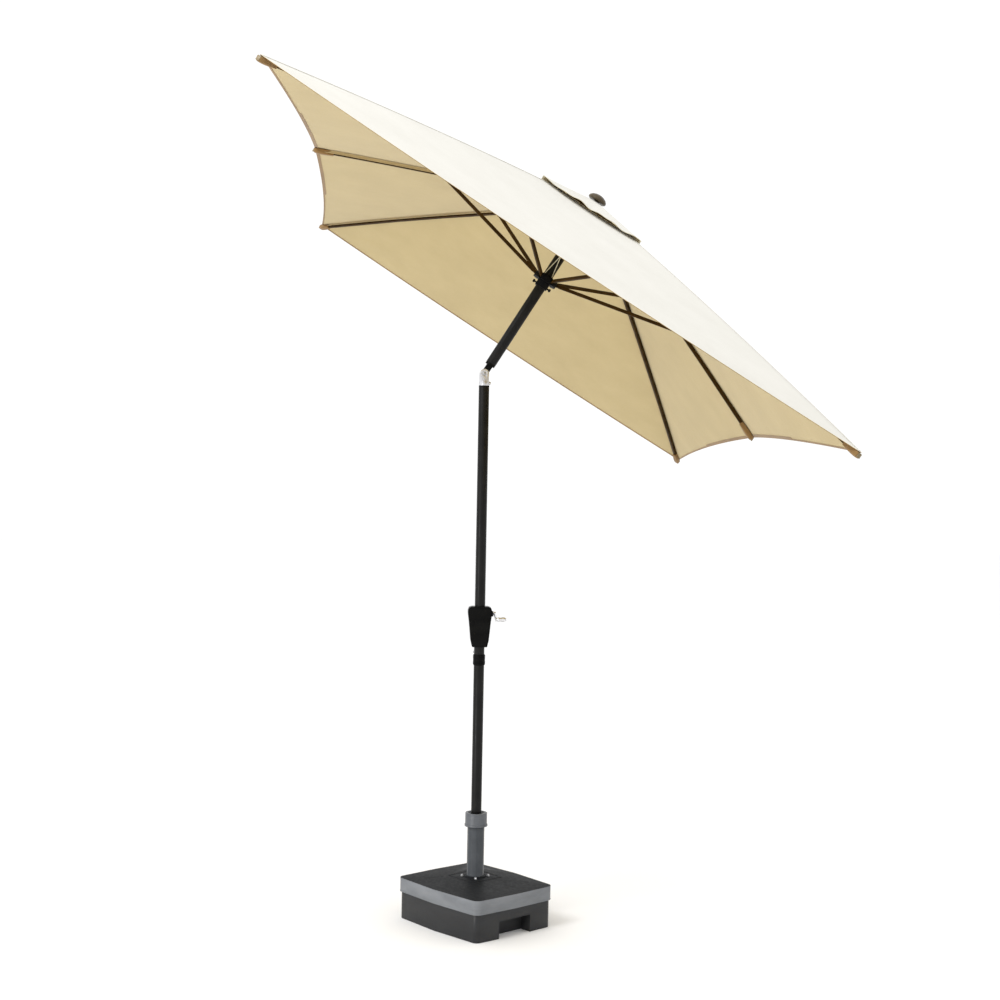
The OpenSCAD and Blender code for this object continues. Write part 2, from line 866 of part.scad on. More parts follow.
module rib_tip(rib) {
    color([0.10, 0.09, 0.08])
        upper_frame()
            rotate(rib[0])
                translate([hub_pin_r, 0, 0]) {
                    translate([0, rib_w / 2 + tip_wall, 0])
                        rotate([90, 0, 0])
                            linear_extrude(height = rib_w + 2 * tip_wall)
                                rib_outline(rib, rib_h / 2, rib[1] - tip_len, rib[1] - 1);
                    translate([0, rib_w / 2 - bar_wall, 0])
                        rotate([90, 0, 0])
                            linear_extrude(height = rib_w - 2 * bar_wall)
                                rib_outline(rib, rib_h / 2 - bar_wall - 0.05, rib[1] - tip_len - 20, rib[1] - tip_len);
                }
}

module strut_bar(rib) {
    top = [hub_pin_r + strut_x(rib), strut_z(rib)];
    dx = top[0] - runner_pin_r;
    dz = top[1] - runner_up;
    len = sqrt(dx * dx + dz * dz);
    ang = atan2(dz, dx);
    color([0.17, 0.12, 0.08])
        upper_frame()
            rotate(rib[0])
                translate([top[0], 0, top[1]])
                    rotate([0, -ang, 0])
                        difference() {
                            union() {
                                translate([-len, -strut_w / 2, -strut_h / 2])
                                    cube([len, strut_w, strut_h]);
                                along_y(strut_h / 2, -strut_w / 2, strut_w / 2);
                                along_y(pin_r, -rib_w / 2 - 3, rib_w / 2 + 3);
                                translate([-len, 0, 0])
                                    along_y(strut_h / 2 - 1, -strut_w / 2, strut_w / 2);
                            }
                            translate([-len + 30, -strut_w / 2 + bar_wall, -strut_h / 2 + bar_wall])
                                cube([len - 50, strut_w - 2 * bar_wall, strut_h - 2 * bar_wall]);
                            for (s = [-1, 1])
                                translate([-len - 8, -strut_w, s * (strut_h / 2 + 4) - 5])
                                    cube([26, 2 * strut_w, 10]);
                        }
}

// A point of the cloth between two ribs, with the side panels curved inward
function cloth_pt(a, b, s, t, up) =
    let (p = rib_pt(RIBS[a], s, up), q = rib_pt(RIBS[b], s, up),
         side = a == MR || b == MR ? 1 : (a == ML || b == ML ? -1 : 0),
         m = p * (1 - t) + q * t)
        [m[0] - side * scallop * 4 * t * (1 - t) * s * s * s, m[1], m[2]];

module cloth(k) {
    rows = 8;
    cols = 4;
    next = (k + 1) % 6;
    prev = (k + 5) % 6;
    half = 0.4995;
    w = 2 * cols + 1;
    layer = function (up) [
        for (i = [0:rows])
            for (j = [-cols:cols])
                let (s = vent_open + (1 - vent_open) * i / rows)
                    cloth_pt(k, j < 0 ? prev : next, s, half * abs(j) / cols, up)
    ];
    n = (rows + 1) * w;
    polyhedron(
        points = concat(layer(cloth_up), layer(cloth_up + cloth_t)),
        faces = concat(
            [for (i = [0:rows - 1]) for (j = [0:w - 2]) [i * w + j, i * w + j + 1, (i + 1) * w + j + 1]],
            [for (i = [0:rows - 1]) for (j = [0:w - 2]) [i * w + j, (i + 1) * w + j + 1, (i + 1) * w + j]],
            [for (i = [0:rows - 1]) for (j = [0:w - 2]) [n + i * w + j, n + (i + 1) * w + j + 1, n + i * w + j + 1]],
            [for (i = [0:rows - 1]) for (j = [0:w - 2]) [n + i * w + j, n + (i + 1) * w + j, n + (i + 1) * w + j + 1]],
            [for (j = [0:w - 2]) [j, n + j + 1, j + 1]],
            [for (j = [0:w - 2]) [j, n + j, n + j + 1]],
            [for (j = [0:w - 2]) [rows * w + j, rows * w + j + 1, n + rows * w + j + 1]],
            [for (j = [0:w - 2]) [rows * w + j, n + rows * w + j + 1, n + rows * w + j]],
            [for (i = [0:rows - 1]) [i * w, (i + 1) * w, n + (i + 1) * w]],
            [for (i = [0:rows - 1]) [i * w, n + (i + 1) * w, n + i * w]],
            [for (i = [0:rows - 1]) [i * w + w - 1, n + (i + 1) * w + w - 1, (i + 1) * w + w - 1]],
            [for (i = [0:rows - 1]) [i * w + w - 1, n + i * w + w - 1, n + (i + 1) * w + w - 1]]
        )
    );
}

module canopy(k) {
    color([0.95, 0.94, 0.90])
        upper_frame()
            cloth(k);
}

function vent_pt(k, m, s, up) =
    let (rib = RIBS[k % 6], nxt = RIBS[(k + 1) % 6],
         lift = cloth_up + vent_lift,
         p0 = [20 * cos(rib[0]), 20 * sin(rib[0]), hub_hi + vent_up],
         q0 = [20 * cos(nxt[0]), 20 * sin(nxt[0]), hub_hi + vent_up],
         p1 = rib_pt(rib, vent_cover, lift),
         q1 = rib_pt(nxt, vent_cover, lift))
        ((p0 * (1 - m) + q0 * m) * (1 - s) + (p1 * (1 - m) + q1 * m) * s) + [0, 0, up];

module vent_cap() {
    n = 24;
    ring = function (s, up) [for (i = [0:n - 1]) vent_pt(floor(i / 4), (i % 4) / 4, s, up)];
    color([0.95, 0.94, 0.90])
        upper_frame()
            polyhedron(
                points = concat(ring(0, 0), ring(1, 0), ring(1, cloth_t), ring(0, cloth_t)),
                faces = [for (r = [0:3]) for (i = [0:n - 1]) for (h = [0, 1])
                    let (a = r * n + i, b = r * n + (i + 1) % n,
                         c = ((r + 1) % 4) * n + (i + 1) % n, d = ((r + 1) % 4) * n + i)
                        h == 0 ? [a, b, c] : [a, c, d]]
            );
}

// ---- output ----

tank();
ballast();
lid();
filler_cap();
socket_tube();
socket_bolts();
collet();
clamp_ring();
lower_tube();
coupling_sleeve();
snap_button();
mast_tube();
crank_housing();
housing_screws();
crank();
crank_spool();
crank_knob();
knuckle_lower();
tilt_pin();
tilt_button();
cord_mast();
knuckle_upper();
upper_tube();
cord_upper();
hub();
hub_pins();
pulley();
finial();
vent_cap();
runner();
runner_knobs();
lift_cord();
rib_bar(RIBS[MR]);  // rib_mr
rib_bar(RIBS[FR]);  // rib_fr
rib_bar(RIBS[FL]);  // rib_fl
rib_bar(RIBS[ML]);  // rib_ml
rib_bar(RIBS[NL]);  // rib_nl
rib_bar(RIBS[NR]);  // rib_nr
rib_tip(RIBS[MR]);  // tip_mr
rib_tip(RIBS[FR]);  // tip_fr
rib_tip(RIBS[FL]);  // tip_fl
rib_tip(RIBS[ML]);  // tip_ml
rib_tip(RIBS[NL]);  // tip_nl
rib_tip(RIBS[NR]);  // tip_nr
strut_bar(RIBS[MR]);  // strut_mr
strut_bar(RIBS[FR]);  // strut_fr
strut_bar(RIBS[FL]);  // strut_fl
strut_bar(RIBS[ML]);  // strut_ml
strut_bar(RIBS[NL]);  // strut_nl
strut_bar(RIBS[NR]);  // strut_nr
canopy(MR);  // canopy_mr
canopy(FR);  // canopy_fr
canopy(FL);  // canopy_fl
canopy(ML);  // canopy_ml
canopy(NL);  // canopy_nl
canopy(NR);  // canopy_nr
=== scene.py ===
import logging
import math
from collections.abc import Callable
from dataclasses import dataclass, field
from enum import Enum

import bmesh
import bpy
import numpy as np
from mathutils import Matrix, Vector


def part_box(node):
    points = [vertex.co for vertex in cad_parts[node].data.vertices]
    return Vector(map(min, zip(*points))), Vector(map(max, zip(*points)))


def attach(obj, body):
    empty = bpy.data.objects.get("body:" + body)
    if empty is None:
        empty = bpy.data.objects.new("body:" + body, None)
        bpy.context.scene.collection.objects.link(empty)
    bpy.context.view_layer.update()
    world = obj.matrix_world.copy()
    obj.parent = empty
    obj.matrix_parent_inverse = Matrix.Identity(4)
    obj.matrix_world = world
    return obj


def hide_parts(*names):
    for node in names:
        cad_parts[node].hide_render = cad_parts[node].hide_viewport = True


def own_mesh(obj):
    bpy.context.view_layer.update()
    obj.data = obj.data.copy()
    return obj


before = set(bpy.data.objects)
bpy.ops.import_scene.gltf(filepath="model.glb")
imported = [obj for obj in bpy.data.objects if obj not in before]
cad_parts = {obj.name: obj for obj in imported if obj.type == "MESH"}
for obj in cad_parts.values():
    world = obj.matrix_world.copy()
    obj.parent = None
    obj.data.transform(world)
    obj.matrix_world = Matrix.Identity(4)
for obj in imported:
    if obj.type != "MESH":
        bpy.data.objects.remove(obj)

log = logging.getLogger("umbrella")
Colour = tuple[float, float, float]
Point = tuple[float, float, float]
Surface = Callable[..., np.ndarray]


# ---------------------------------------------------------------- finishes


class Follow(Enum):
    """What a pattern's coordinates follow on the piece."""

    OBJECT = "Object"
    CLOTH = "UV"


class Bench:
    """A new material and the few node moves that every finish is made of."""

    def __init__(self, name: str) -> None:
        """Starts a material with an empty shader.

        Args:
            name: The material's name.
        """
        self.material = bpy.data.materials.new(name)
        self.material.use_nodes = True
        self.tree = self.material.node_tree
        self.shader = self.tree.nodes["Principled BSDF"]
        self.coords = self.tree.nodes.new("ShaderNodeTexCoord")

    def set(self, **values: object) -> None:
        """Sets the shader's own sockets, with spaces written as underscores."""
        for key, value in values.items():
            self.shader.inputs[key.replace("_", " ")].default_value = value

    def link(self, a: object, b: object) -> None:
        """Joins an output to an input."""
        self.tree.links.new(a, b)

    def place(self, follow: Follow, scale: Point = (1, 1, 1), turn: float = 0.0) -> object:
        """Gives coordinates, stretched and turned.

        Args:
            follow: Which coordinates the pattern follows.
            scale: Repeats per metre along each axis.
            turn: Turn about Z in radians.

        Returns:
            The vector socket.
        """
        node = self.tree.nodes.new("ShaderNodeMapping")
        node.inputs["Scale"].default_value = scale
        node.inputs["Rotation"].default_value = (0, 0, turn)
        self.link(self.coords.outputs[follow.value], node.inputs["Vector"])
        return node.outputs["Vector"]

    def noise(self, at: object, scale: float, detail: float = 3.0, rough: float = 0.5) -> object:
        """Adds a noise.

        Args:
            at: The vector socket.
            scale: Grains per unit.
            detail: Octaves.
            rough: Share of each finer octave.

        Returns:
            The value socket.
        """
        node = self.tree.nodes.new("ShaderNodeTexNoise")
        node.inputs["Scale"].default_value = scale
        node.inputs["Detail"].default_value = detail
        node.inputs["Roughness"].default_value = rough
        self.link(at, node.inputs["Vector"])
        return node.outputs["Fac"]

    def wave(self, at: object, axis: str, scale: float, distort: float = 0.0) -> object:
        """Adds straight bands.

        Args:
            at: The vector socket.
            axis: X, Y, Z or DIAGONAL.
            scale: Bands per unit.
            distort: How far the bands wander.

        Returns:
            The value socket.
        """
        node = self.tree.nodes.new("ShaderNodeTexWave")
        node.bands_direction = axis
        node.inputs["Scale"].default_value = scale
        node.inputs["Distortion"].default_value = distort
        self.link(at, node.inputs["Vector"])
        return node.outputs["Fac"]

    def combine(self, a: object, b: object, how: str = "ADD") -> object:
        """Joins two values with one arithmetic step.

        Args:
            a: A value socket.
            b: A value socket or a number.
            how: The Math node's operation.

        Returns:
            The value socket.
        """
        node = self.tree.nodes.new("ShaderNodeMath")
        node.operation = how
        self.link(a, node.inputs[0])
        if isinstance(b, (int, float)):
            node.inputs[1].default_value = b
        else:
            self.link(b, node.inputs[1])
        return node.outputs[0]

    def span(self, value: object, low: float, high: float, socket: str) -> None:
        """Spreads a noise over a range into one of the shader's sockets.

        Args:
            value: The value socket, mostly between 0.3 and 0.7.
            low: What 0.3 becomes.
            high: What 0.7 becomes.
            socket: The shader's socket.
        """
        node = self.tree.nodes.new("ShaderNodeMapRange")
        for name, end in (("From Min", 0.3), ("From Max", 0.7), ("To Min", low), ("To Max", high)):
            node.inputs[name].default_value = end
        self.link(value, node.inputs["Value"])
        self.link(node.outputs["Result"], self.shader.inputs[socket])

    def tint(self, value: object, low: Colour, high: Colour,
             ends: tuple[float, float] = (0.35, 0.65)) -> None:
        """Colours the piece between two tones.

        Args:
            value: The value socket that picks the tone.
            low: The tone at the lower end.
            high: The tone at the upper end.
            ends: The values of the two ends.
        """
        ramp = self.tree.nodes.new("ShaderNodeValToRGB")
        for stop, end, tone in zip(ramp.color_ramp.elements, ends, (low, high)):
            stop.position = end
            stop.color = (*tone, 1)
        self.link(value, ramp.inputs["Fac"])
        self.link(ramp.outputs["Color"], self.shader.inputs["Base Color"])

    def bump(self, value: object, depth: float, strength: float = 1.0) -> None:
        """Raises the surface by a value, over any bump that is there already.

        Args:
            value: The height socket.
            depth: Height in metres of a value of 1.
            strength: The bump's share.
        """
        node = self.tree.nodes.new("ShaderNodeBump")
        node.inputs["Distance"].default_value = depth
        node.inputs["Strength"].default_value = strength
        self.link(value, node.inputs["Height"])
        socket = self.shader.inputs["Normal"]
        if socket.is_linked:
            self.link(socket.links[0].from_socket, node.inputs["Normal"])
        self.link(node.outputs["Normal"], socket)


@dataclass(frozen=True)
class WovenCloth:
    """Woven polyester: two crossing thread waves, a soft sheen and uneven dye."""

    name: str
    dark: Colour
    light: Colour
    threads: float = 900.0
    rough: float = 0.85
    crease: float = 0.0012

    def make(self) -> bpy.types.Material:
        """Builds the material."""
        bench = Bench(self.name)
        flat = bench.place(Follow.CLOTH)
        patch = bench.noise(flat, 5.0, 5.0, 0.6)
        bands = self.threads / 6.28
        thread = bench.combine(bench.wave(flat, "X", bands), bench.wave(flat, "Y", bands))
        faint = bench.combine(thread, 0.03, "MULTIPLY")
        bench.tint(bench.combine(patch, faint), self.dark, self.light, (0.3, 0.75))
        bench.span(bench.noise(flat, 60.0), self.rough - 0.06, self.rough + 0.06, "Roughness")
        bench.bump(bench.noise(flat, 9.0, 4.0, 0.6), self.crease)
        bench.bump(thread, 0.00008, 0.6)
        bench.set(Sheen_Weight=0.25, Sheen_Roughness=0.5, Specular_IOR_Level=0.2)
        return bench.material


@dataclass(frozen=True)
class PowderCoat:
    """Baked powder paint on steel: fine orange peel and slightly worn tone."""

    name: str
    dark: Colour
    light: Colour
    rough: float = 0.38
    shine: float = 0.5

    def make(self) -> bpy.types.Material:
        """Builds the material."""
        bench = Bench(self.name)
        at = bench.place(Follow.OBJECT)
        bench.tint(bench.noise(at, 14.0, 6.0, 0.65), self.dark, self.light)
        bench.span(bench.noise(at, 45.0, 4.0), self.rough - 0.07, self.rough + 0.1, "Roughness")
        bench.bump(bench.noise(at, 700.0, 2.0), 0.00006)
        bench.set(Specular_IOR_Level=self.shine, Coat_Weight=0.1 * self.shine, Coat_Roughness=0.25)
        return bench.material


@dataclass(frozen=True)
class BrightMetal:
    """Plated or die-cast metal: light smudges, hairlines along the part."""

    name: str
    colour: Colour
    rough: float = 0.16
    hair: float = 0.00002

    def make(self) -> bpy.types.Material:
        """Builds the material."""
        bench = Bench(self.name)
        at = bench.place(Follow.OBJECT)
        low = tuple(0.82 * c for c in self.colour)
        bench.tint(bench.noise(at, 55.0, 4.0), low, self.colour)
        bench.span(bench.noise(at, 30.0, 5.0, 0.7), self.rough - 0.05, self.rough + 0.14, "Roughness")
        bench.bump(bench.noise(bench.place(Follow.OBJECT, (900, 900, 40)), 1.0, 2.0), self.hair)
        bench.set(Metallic=1.0)
        return bench.material


@dataclass(frozen=True)
class MouldedPlastic:
    """Moulded plastic: spark-eroded grain, faint flow marks and scuffs."""

    name: str
    dark: Colour
    light: Colour
    rough: float = 0.55
    grain: float = 0.00012
    pitch: float = 900.0
    shine: float = 0.25

    def make(self) -> bpy.types.Material:
        """Builds the material."""
        bench = Bench(self.name)
        at = bench.place(Follow.OBJECT)
        flow = bench.noise(bench.place(Follow.OBJECT, (6, 6, 22)), 1.0, 5.0, 0.6)
        bench.tint(flow, self.dark, self.light)
        bench.span(bench.noise(at, 80.0, 5.0, 0.7), self.rough - 0.08, self.rough + 0.1, "Roughness")
        bench.bump(bench.noise(at, self.pitch, 2.0, 0.6), self.grain)
        bench.bump(bench.noise(at, 18.0, 3.0), 0.0004, 0.4)
        bench.set(Specular_IOR_Level=self.shine)
        return bench.material


@dataclass(frozen=True)
class BraidedCord:
    """Cream braided cord: two crossing diagonals."""

    name: str
    dark: Colour
    light: Colour

    def make(self) -> bpy.types.Material:
        """Builds the material."""
        bench = Bench(self.name)
        one = bench.wave(bench.place(Follow.OBJECT, (1, 1, 1), 0.8), "DIAGONAL", 90.0, 0.5)
        two = bench.wave(bench.place(Follow.OBJECT, (-1, 1, 1), 0.8), "DIAGONAL", 90.0, 0.5)
        braid = bench.combine(one, two, "MAXIMUM")
        # The grooves between the strands take the darker tone: painted shade over the braid pattern.
        bench.tint(braid, self.dark, self.light, (0.2, 0.9))
        bench.bump(braid, 0.0003)
        bench.set(Roughness=0.9, Sheen_Weight=0.2)
        return bench.material


@dataclass(frozen=True)
class PalePlain:
    """The studio floor."""

    name: str
    colour: Colour

    def make(self) -> bpy.types.Material:
        """Builds the material."""
        bench = Bench(self.name)
        bench.set(Base_Color=(*self.colour, 1), Roughness=0.9, Specular_IOR_Level=0.1)
        return bench.material


class Finish(Enum):
    """Every finish on the umbrella and its base."""

    CLOTH_TOP = WovenCloth("cloth_outside", (0.690, 0.670, 0.603), (0.742, 0.722, 0.658))
    # Underside of the same cream cloth, painted tan: painted shade, with the light that shows through the
    # cloth.
    CLOTH_UNDER_PAINTED_SHADE = WovenCloth("cloth_inside_painted_shade", (0.455, 0.353, 0.165), (0.510, 0.402, 0.195))
    # Doubled cream cloth of the hems and tip pockets, painted dark brown: painted shade under the canopy.
    CLOTH_FOLD_PAINTED_SHADE = WovenCloth("cloth_folded_painted_shade", (0.195, 0.110, 0.036), (0.28, 0.165, 0.06), 700.0, 0.8, 0.0004)
    # Cream cloth of the cut edges and seam flaps, painted tan: painted shade under the canopy, a little
    # lighter than the underside for the light falling on the flaps.
    CLOTH_SEAM_PAINTED_SHADE = WovenCloth("cloth_seam_painted_shade", (0.50, 0.40, 0.21), (0.60, 0.48, 0.27), 700.0, 0.8, 0.0004)
    # Cream cloth of the vent's edge and the hem strip under it, painted yellowish: a painted shadow line
    # under the vent's edge.
    CLOTH_RIM_PAINTED_SHADOW = WovenCloth("cloth_rim_painted_shadow", (0.66, 0.60, 0.42), (0.73, 0.67, 0.50), 700.0, 0.8, 0.0004)
    POLE = PowderCoat("black_powder_coat", (0.004, 0.004, 0.0038), (0.008, 0.0078, 0.0075), 0.36, 0.16)
    RIB = PowderCoat("brown_powder_coat", (0.026, 0.012, 0.0015), (0.050, 0.025, 0.005), 0.45, 0.05)
    SOCKET = PowderCoat("grey_powder_coat", (0.037, 0.042, 0.049), (0.054, 0.060, 0.067), 0.40, 0.3)
    CHROME = BrightMetal("chrome_plate", (0.80, 0.80, 0.82), 0.14)
    CAST = BrightMetal("die_cast_metal", (0.66, 0.66, 0.68), 0.30, 0.00006)
    STEEL = BrightMetal("zinc_plate", (0.42, 0.42, 0.43), 0.36, 0.00005)
    HOUSING = MouldedPlastic("black_housing_plastic", (0.003, 0.003, 0.003), (0.006, 0.006, 0.0055),
                             0.30, 0.00003, 900.0, 0.05)
    BLACK = MouldedPlastic("satin_black_plastic", (0.003, 0.003, 0.003), (0.006, 0.006, 0.006),
                           0.46, 0.00003, 900.0, 0.05)
    LID = MouldedPlastic("lid_plastic", (0.010, 0.011, 0.012), (0.017, 0.018, 0.020),
                         0.50, 0.00004, 900.0, 0.05)
    SKIRT = MouldedPlastic("skirt_plastic", (0.150, 0.159, 0.171), (0.206, 0.215, 0.228), 0.50, 0.00004)
    TANK = MouldedPlastic("tank_plastic", (0.007, 0.0075, 0.0086), (0.013, 0.0138, 0.0156),
                          0.36, 0.00003, 900.0, 0.4)
    CLAMP = MouldedPlastic("clamp_plastic", (0.068, 0.074, 0.084), (0.102, 0.109, 0.120),
                           0.36, 0.00005, 900.0, 0.4)
    FINIAL = MouldedPlastic("bronze_lacquer", (0.060, 0.044, 0.024), (0.120, 0.092, 0.054), 0.30, 0.00004)
    TIP = MouldedPlastic("tan_end_cap_plastic", (0.17, 0.125, 0.06), (0.26, 0.20, 0.11),
                         0.40, 0.00003, 900.0, 0.3)
    WATER = MouldedPlastic("water_filling", (0.30, 0.40, 0.43), (0.36, 0.46, 0.49), 0.12, 0.00002)
    CORD = BraidedCord("braided_cord", (0.42, 0.38, 0.24), (0.80, 0.76, 0.58))

    @property
    def material(self) -> bpy.types.Material:
        """The finish's material, made once."""
        return bpy.data.materials.get(self.value.name) or self.value.make()


# ---------------------------------------------------------------- bench tools


def clear_selection() -> None:
    """Leaves edit mode and deselects everything."""
    if bpy.context.object and bpy.context.object.mode != "OBJECT":
        bpy.ops.object.mode_set(mode="OBJECT")
    bpy.ops.object.select_all(action="DESELECT")


def take(piece: bpy.types.Object) -> None:
    """Makes a piece the only selected and active one."""
    clear_selection()
    piece.select_set(True)
    bpy.context.view_layer.objects.active = piece


def settle(piece: bpy.types.Object) -> None:
    """Applies the piece's place, so its object sits at the origin."""
    take(piece)
    bpy.ops.object.transform_apply(location=True, rotation=True, scale=True)


def choose(piece: bpy.types.Object, kind: str, test: Callable[..., bool]) -> None:
    """Selects parts of the mesh that is being edited.

    Args:
        piece: The piece in edit mode.
        kind: verts, edges or faces.
        test: Called with each part, and true for those to select.
    """
    mesh = bmesh.from_edit_mesh(piece.data)
    for group in (mesh.verts, mesh.edges, mesh.faces):
        for part in group:
            part.select = False
    picked = [part for part in getattr(mesh, kind) if test(part)]
    for part in picked:
        part.select_set(True)
    mode = {"verts": "VERT", "edges": "EDGE", "faces": "FACE"}[kind]
    bpy.context.tool_settings.mesh_select_mode = tuple(m == mode for m in ("VERT", "EDGE", "FACE"))
    bmesh.update_edit_mesh(piece.data)


def apply_modifier(piece: bpy.types.Object, kind: str, **values: object) -> None:
    """Adds a modifier with its settings and applies it.

    Args:
        piece: The mesh piece.
        kind: The modifier's type.
        **values: Its settings.
    """
    take(piece)
    modifier = piece.modifiers.new(kind.title(), kind)
    for key, value in values.items():
        setattr(modifier, key, value)
    bpy.ops.object.modifier_apply(modifier=modifier.name)


def smooth(piece: bpy.types.Object, angle: float = 32.0) -> None:
    """Shades the piece smooth up to an angle in degrees."""
    take(piece)
    bpy.ops.object.shade_smooth_by_angle(angle=math.radians(angle))


def coat(piece: bpy.types.Object, *finishes: Finish) -> None:
    """Gives the piece its finishes, one per slot."""
    piece.data.materials.clear()
    for finish in finishes:
        piece.data.materials.append(finish.material)


def rounded_copy(node: str, body: str, finish: Finish, width: float) -> bpy.types.Object:
    """Copies a CAD piece, welds it and rounds its edges.

    Args:
        node: The CAD node that the copy stands for.
        body: The body it rides on.
        finish: Its finish.
        width: The edge radius in metres.

    Returns:
        The new piece.
    """
    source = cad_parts[node]
    piece = bpy.data.objects.new(node + "_made", source.data.copy())
    bpy.context.collection.objects.link(piece)
    take(piece)
    bpy.ops.object.mode_set(mode="EDIT")
    bpy.ops.mesh.select_all(action="SELECT")
    bpy.ops.mesh.remove_doubles(threshold=0.00002)
    bpy.ops.mesh.dissolve_limited(angle_limit=math.radians(0.5))
    bpy.ops.object.mode_set(mode="OBJECT")
    if width > 0:
        apply_modifier(piece, "BEVEL", width=width, segments=2, limit_method="ANGLE",
                       angle_limit=math.radians(30), use_clamp_overlap=True)
    smooth(piece)
    coat(piece, finish)
    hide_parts(node)
    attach(piece, body)
    return piece


def block(size: Point) -> bpy.types.Object:
    """Makes a plain block about the origin, all of its mesh selected.

    Args:
        size: Its length along each axis.

    Returns:
        The new piece, in object mode.
    """
    clear_selection()
    bpy.ops.mesh.primitive_cube_add(size=1)
    bpy.ops.object.mode_set(mode="EDIT")
    bpy.ops.transform.resize(value=size)
    bpy.ops.object.mode_set(mode="OBJECT")
    return bpy.context.object


def soften(piece: bpy.types.Object, width: float) -> None:
    """Rounds a small piece's sharp edges."""
    apply_modifier(piece, "BEVEL", width=width, segments=2, limit_method="ANGLE")


def mesh_piece(name: str, points: np.ndarray, faces: list, body: str) -> bpy.types.Object:
    """Makes a piece from points and faces.

    Args:
        name: The piece's name.
        points: One row of x, y, z for each point.
        faces: Lists of point numbers.
        body: The body it rides on.

    Returns:
        The new piece.
    """
    mesh = bpy.data.meshes.new(name)
    mesh.from_pydata([tuple(p) for p in points], [], faces)
    mesh.update()
    piece = bpy.data.objects.new(name, mesh)
    bpy.context.collection.objects.link(piece)
    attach(piece, body)
    return piece


# ---------------------------------------------------------------- upper pole frame


@dataclass(frozen=True)
class Rib:
    """One rib's place: azimuth in the upper pole's frame, run, drop and slope."""

    tag: str
    azimuth: float
    run: float
    drop: float
    slope: float

    @property
    def body(self) -> str:
        """The rib's body."""
        return "rib_" + self.tag

    @property
    def aside(self) -> np.ndarray:
        """The direction across the rib in the upper pole's frame."""
        return np.array([-math.sin(self.azimuth), math.cos(self.azimuth), 0.0])


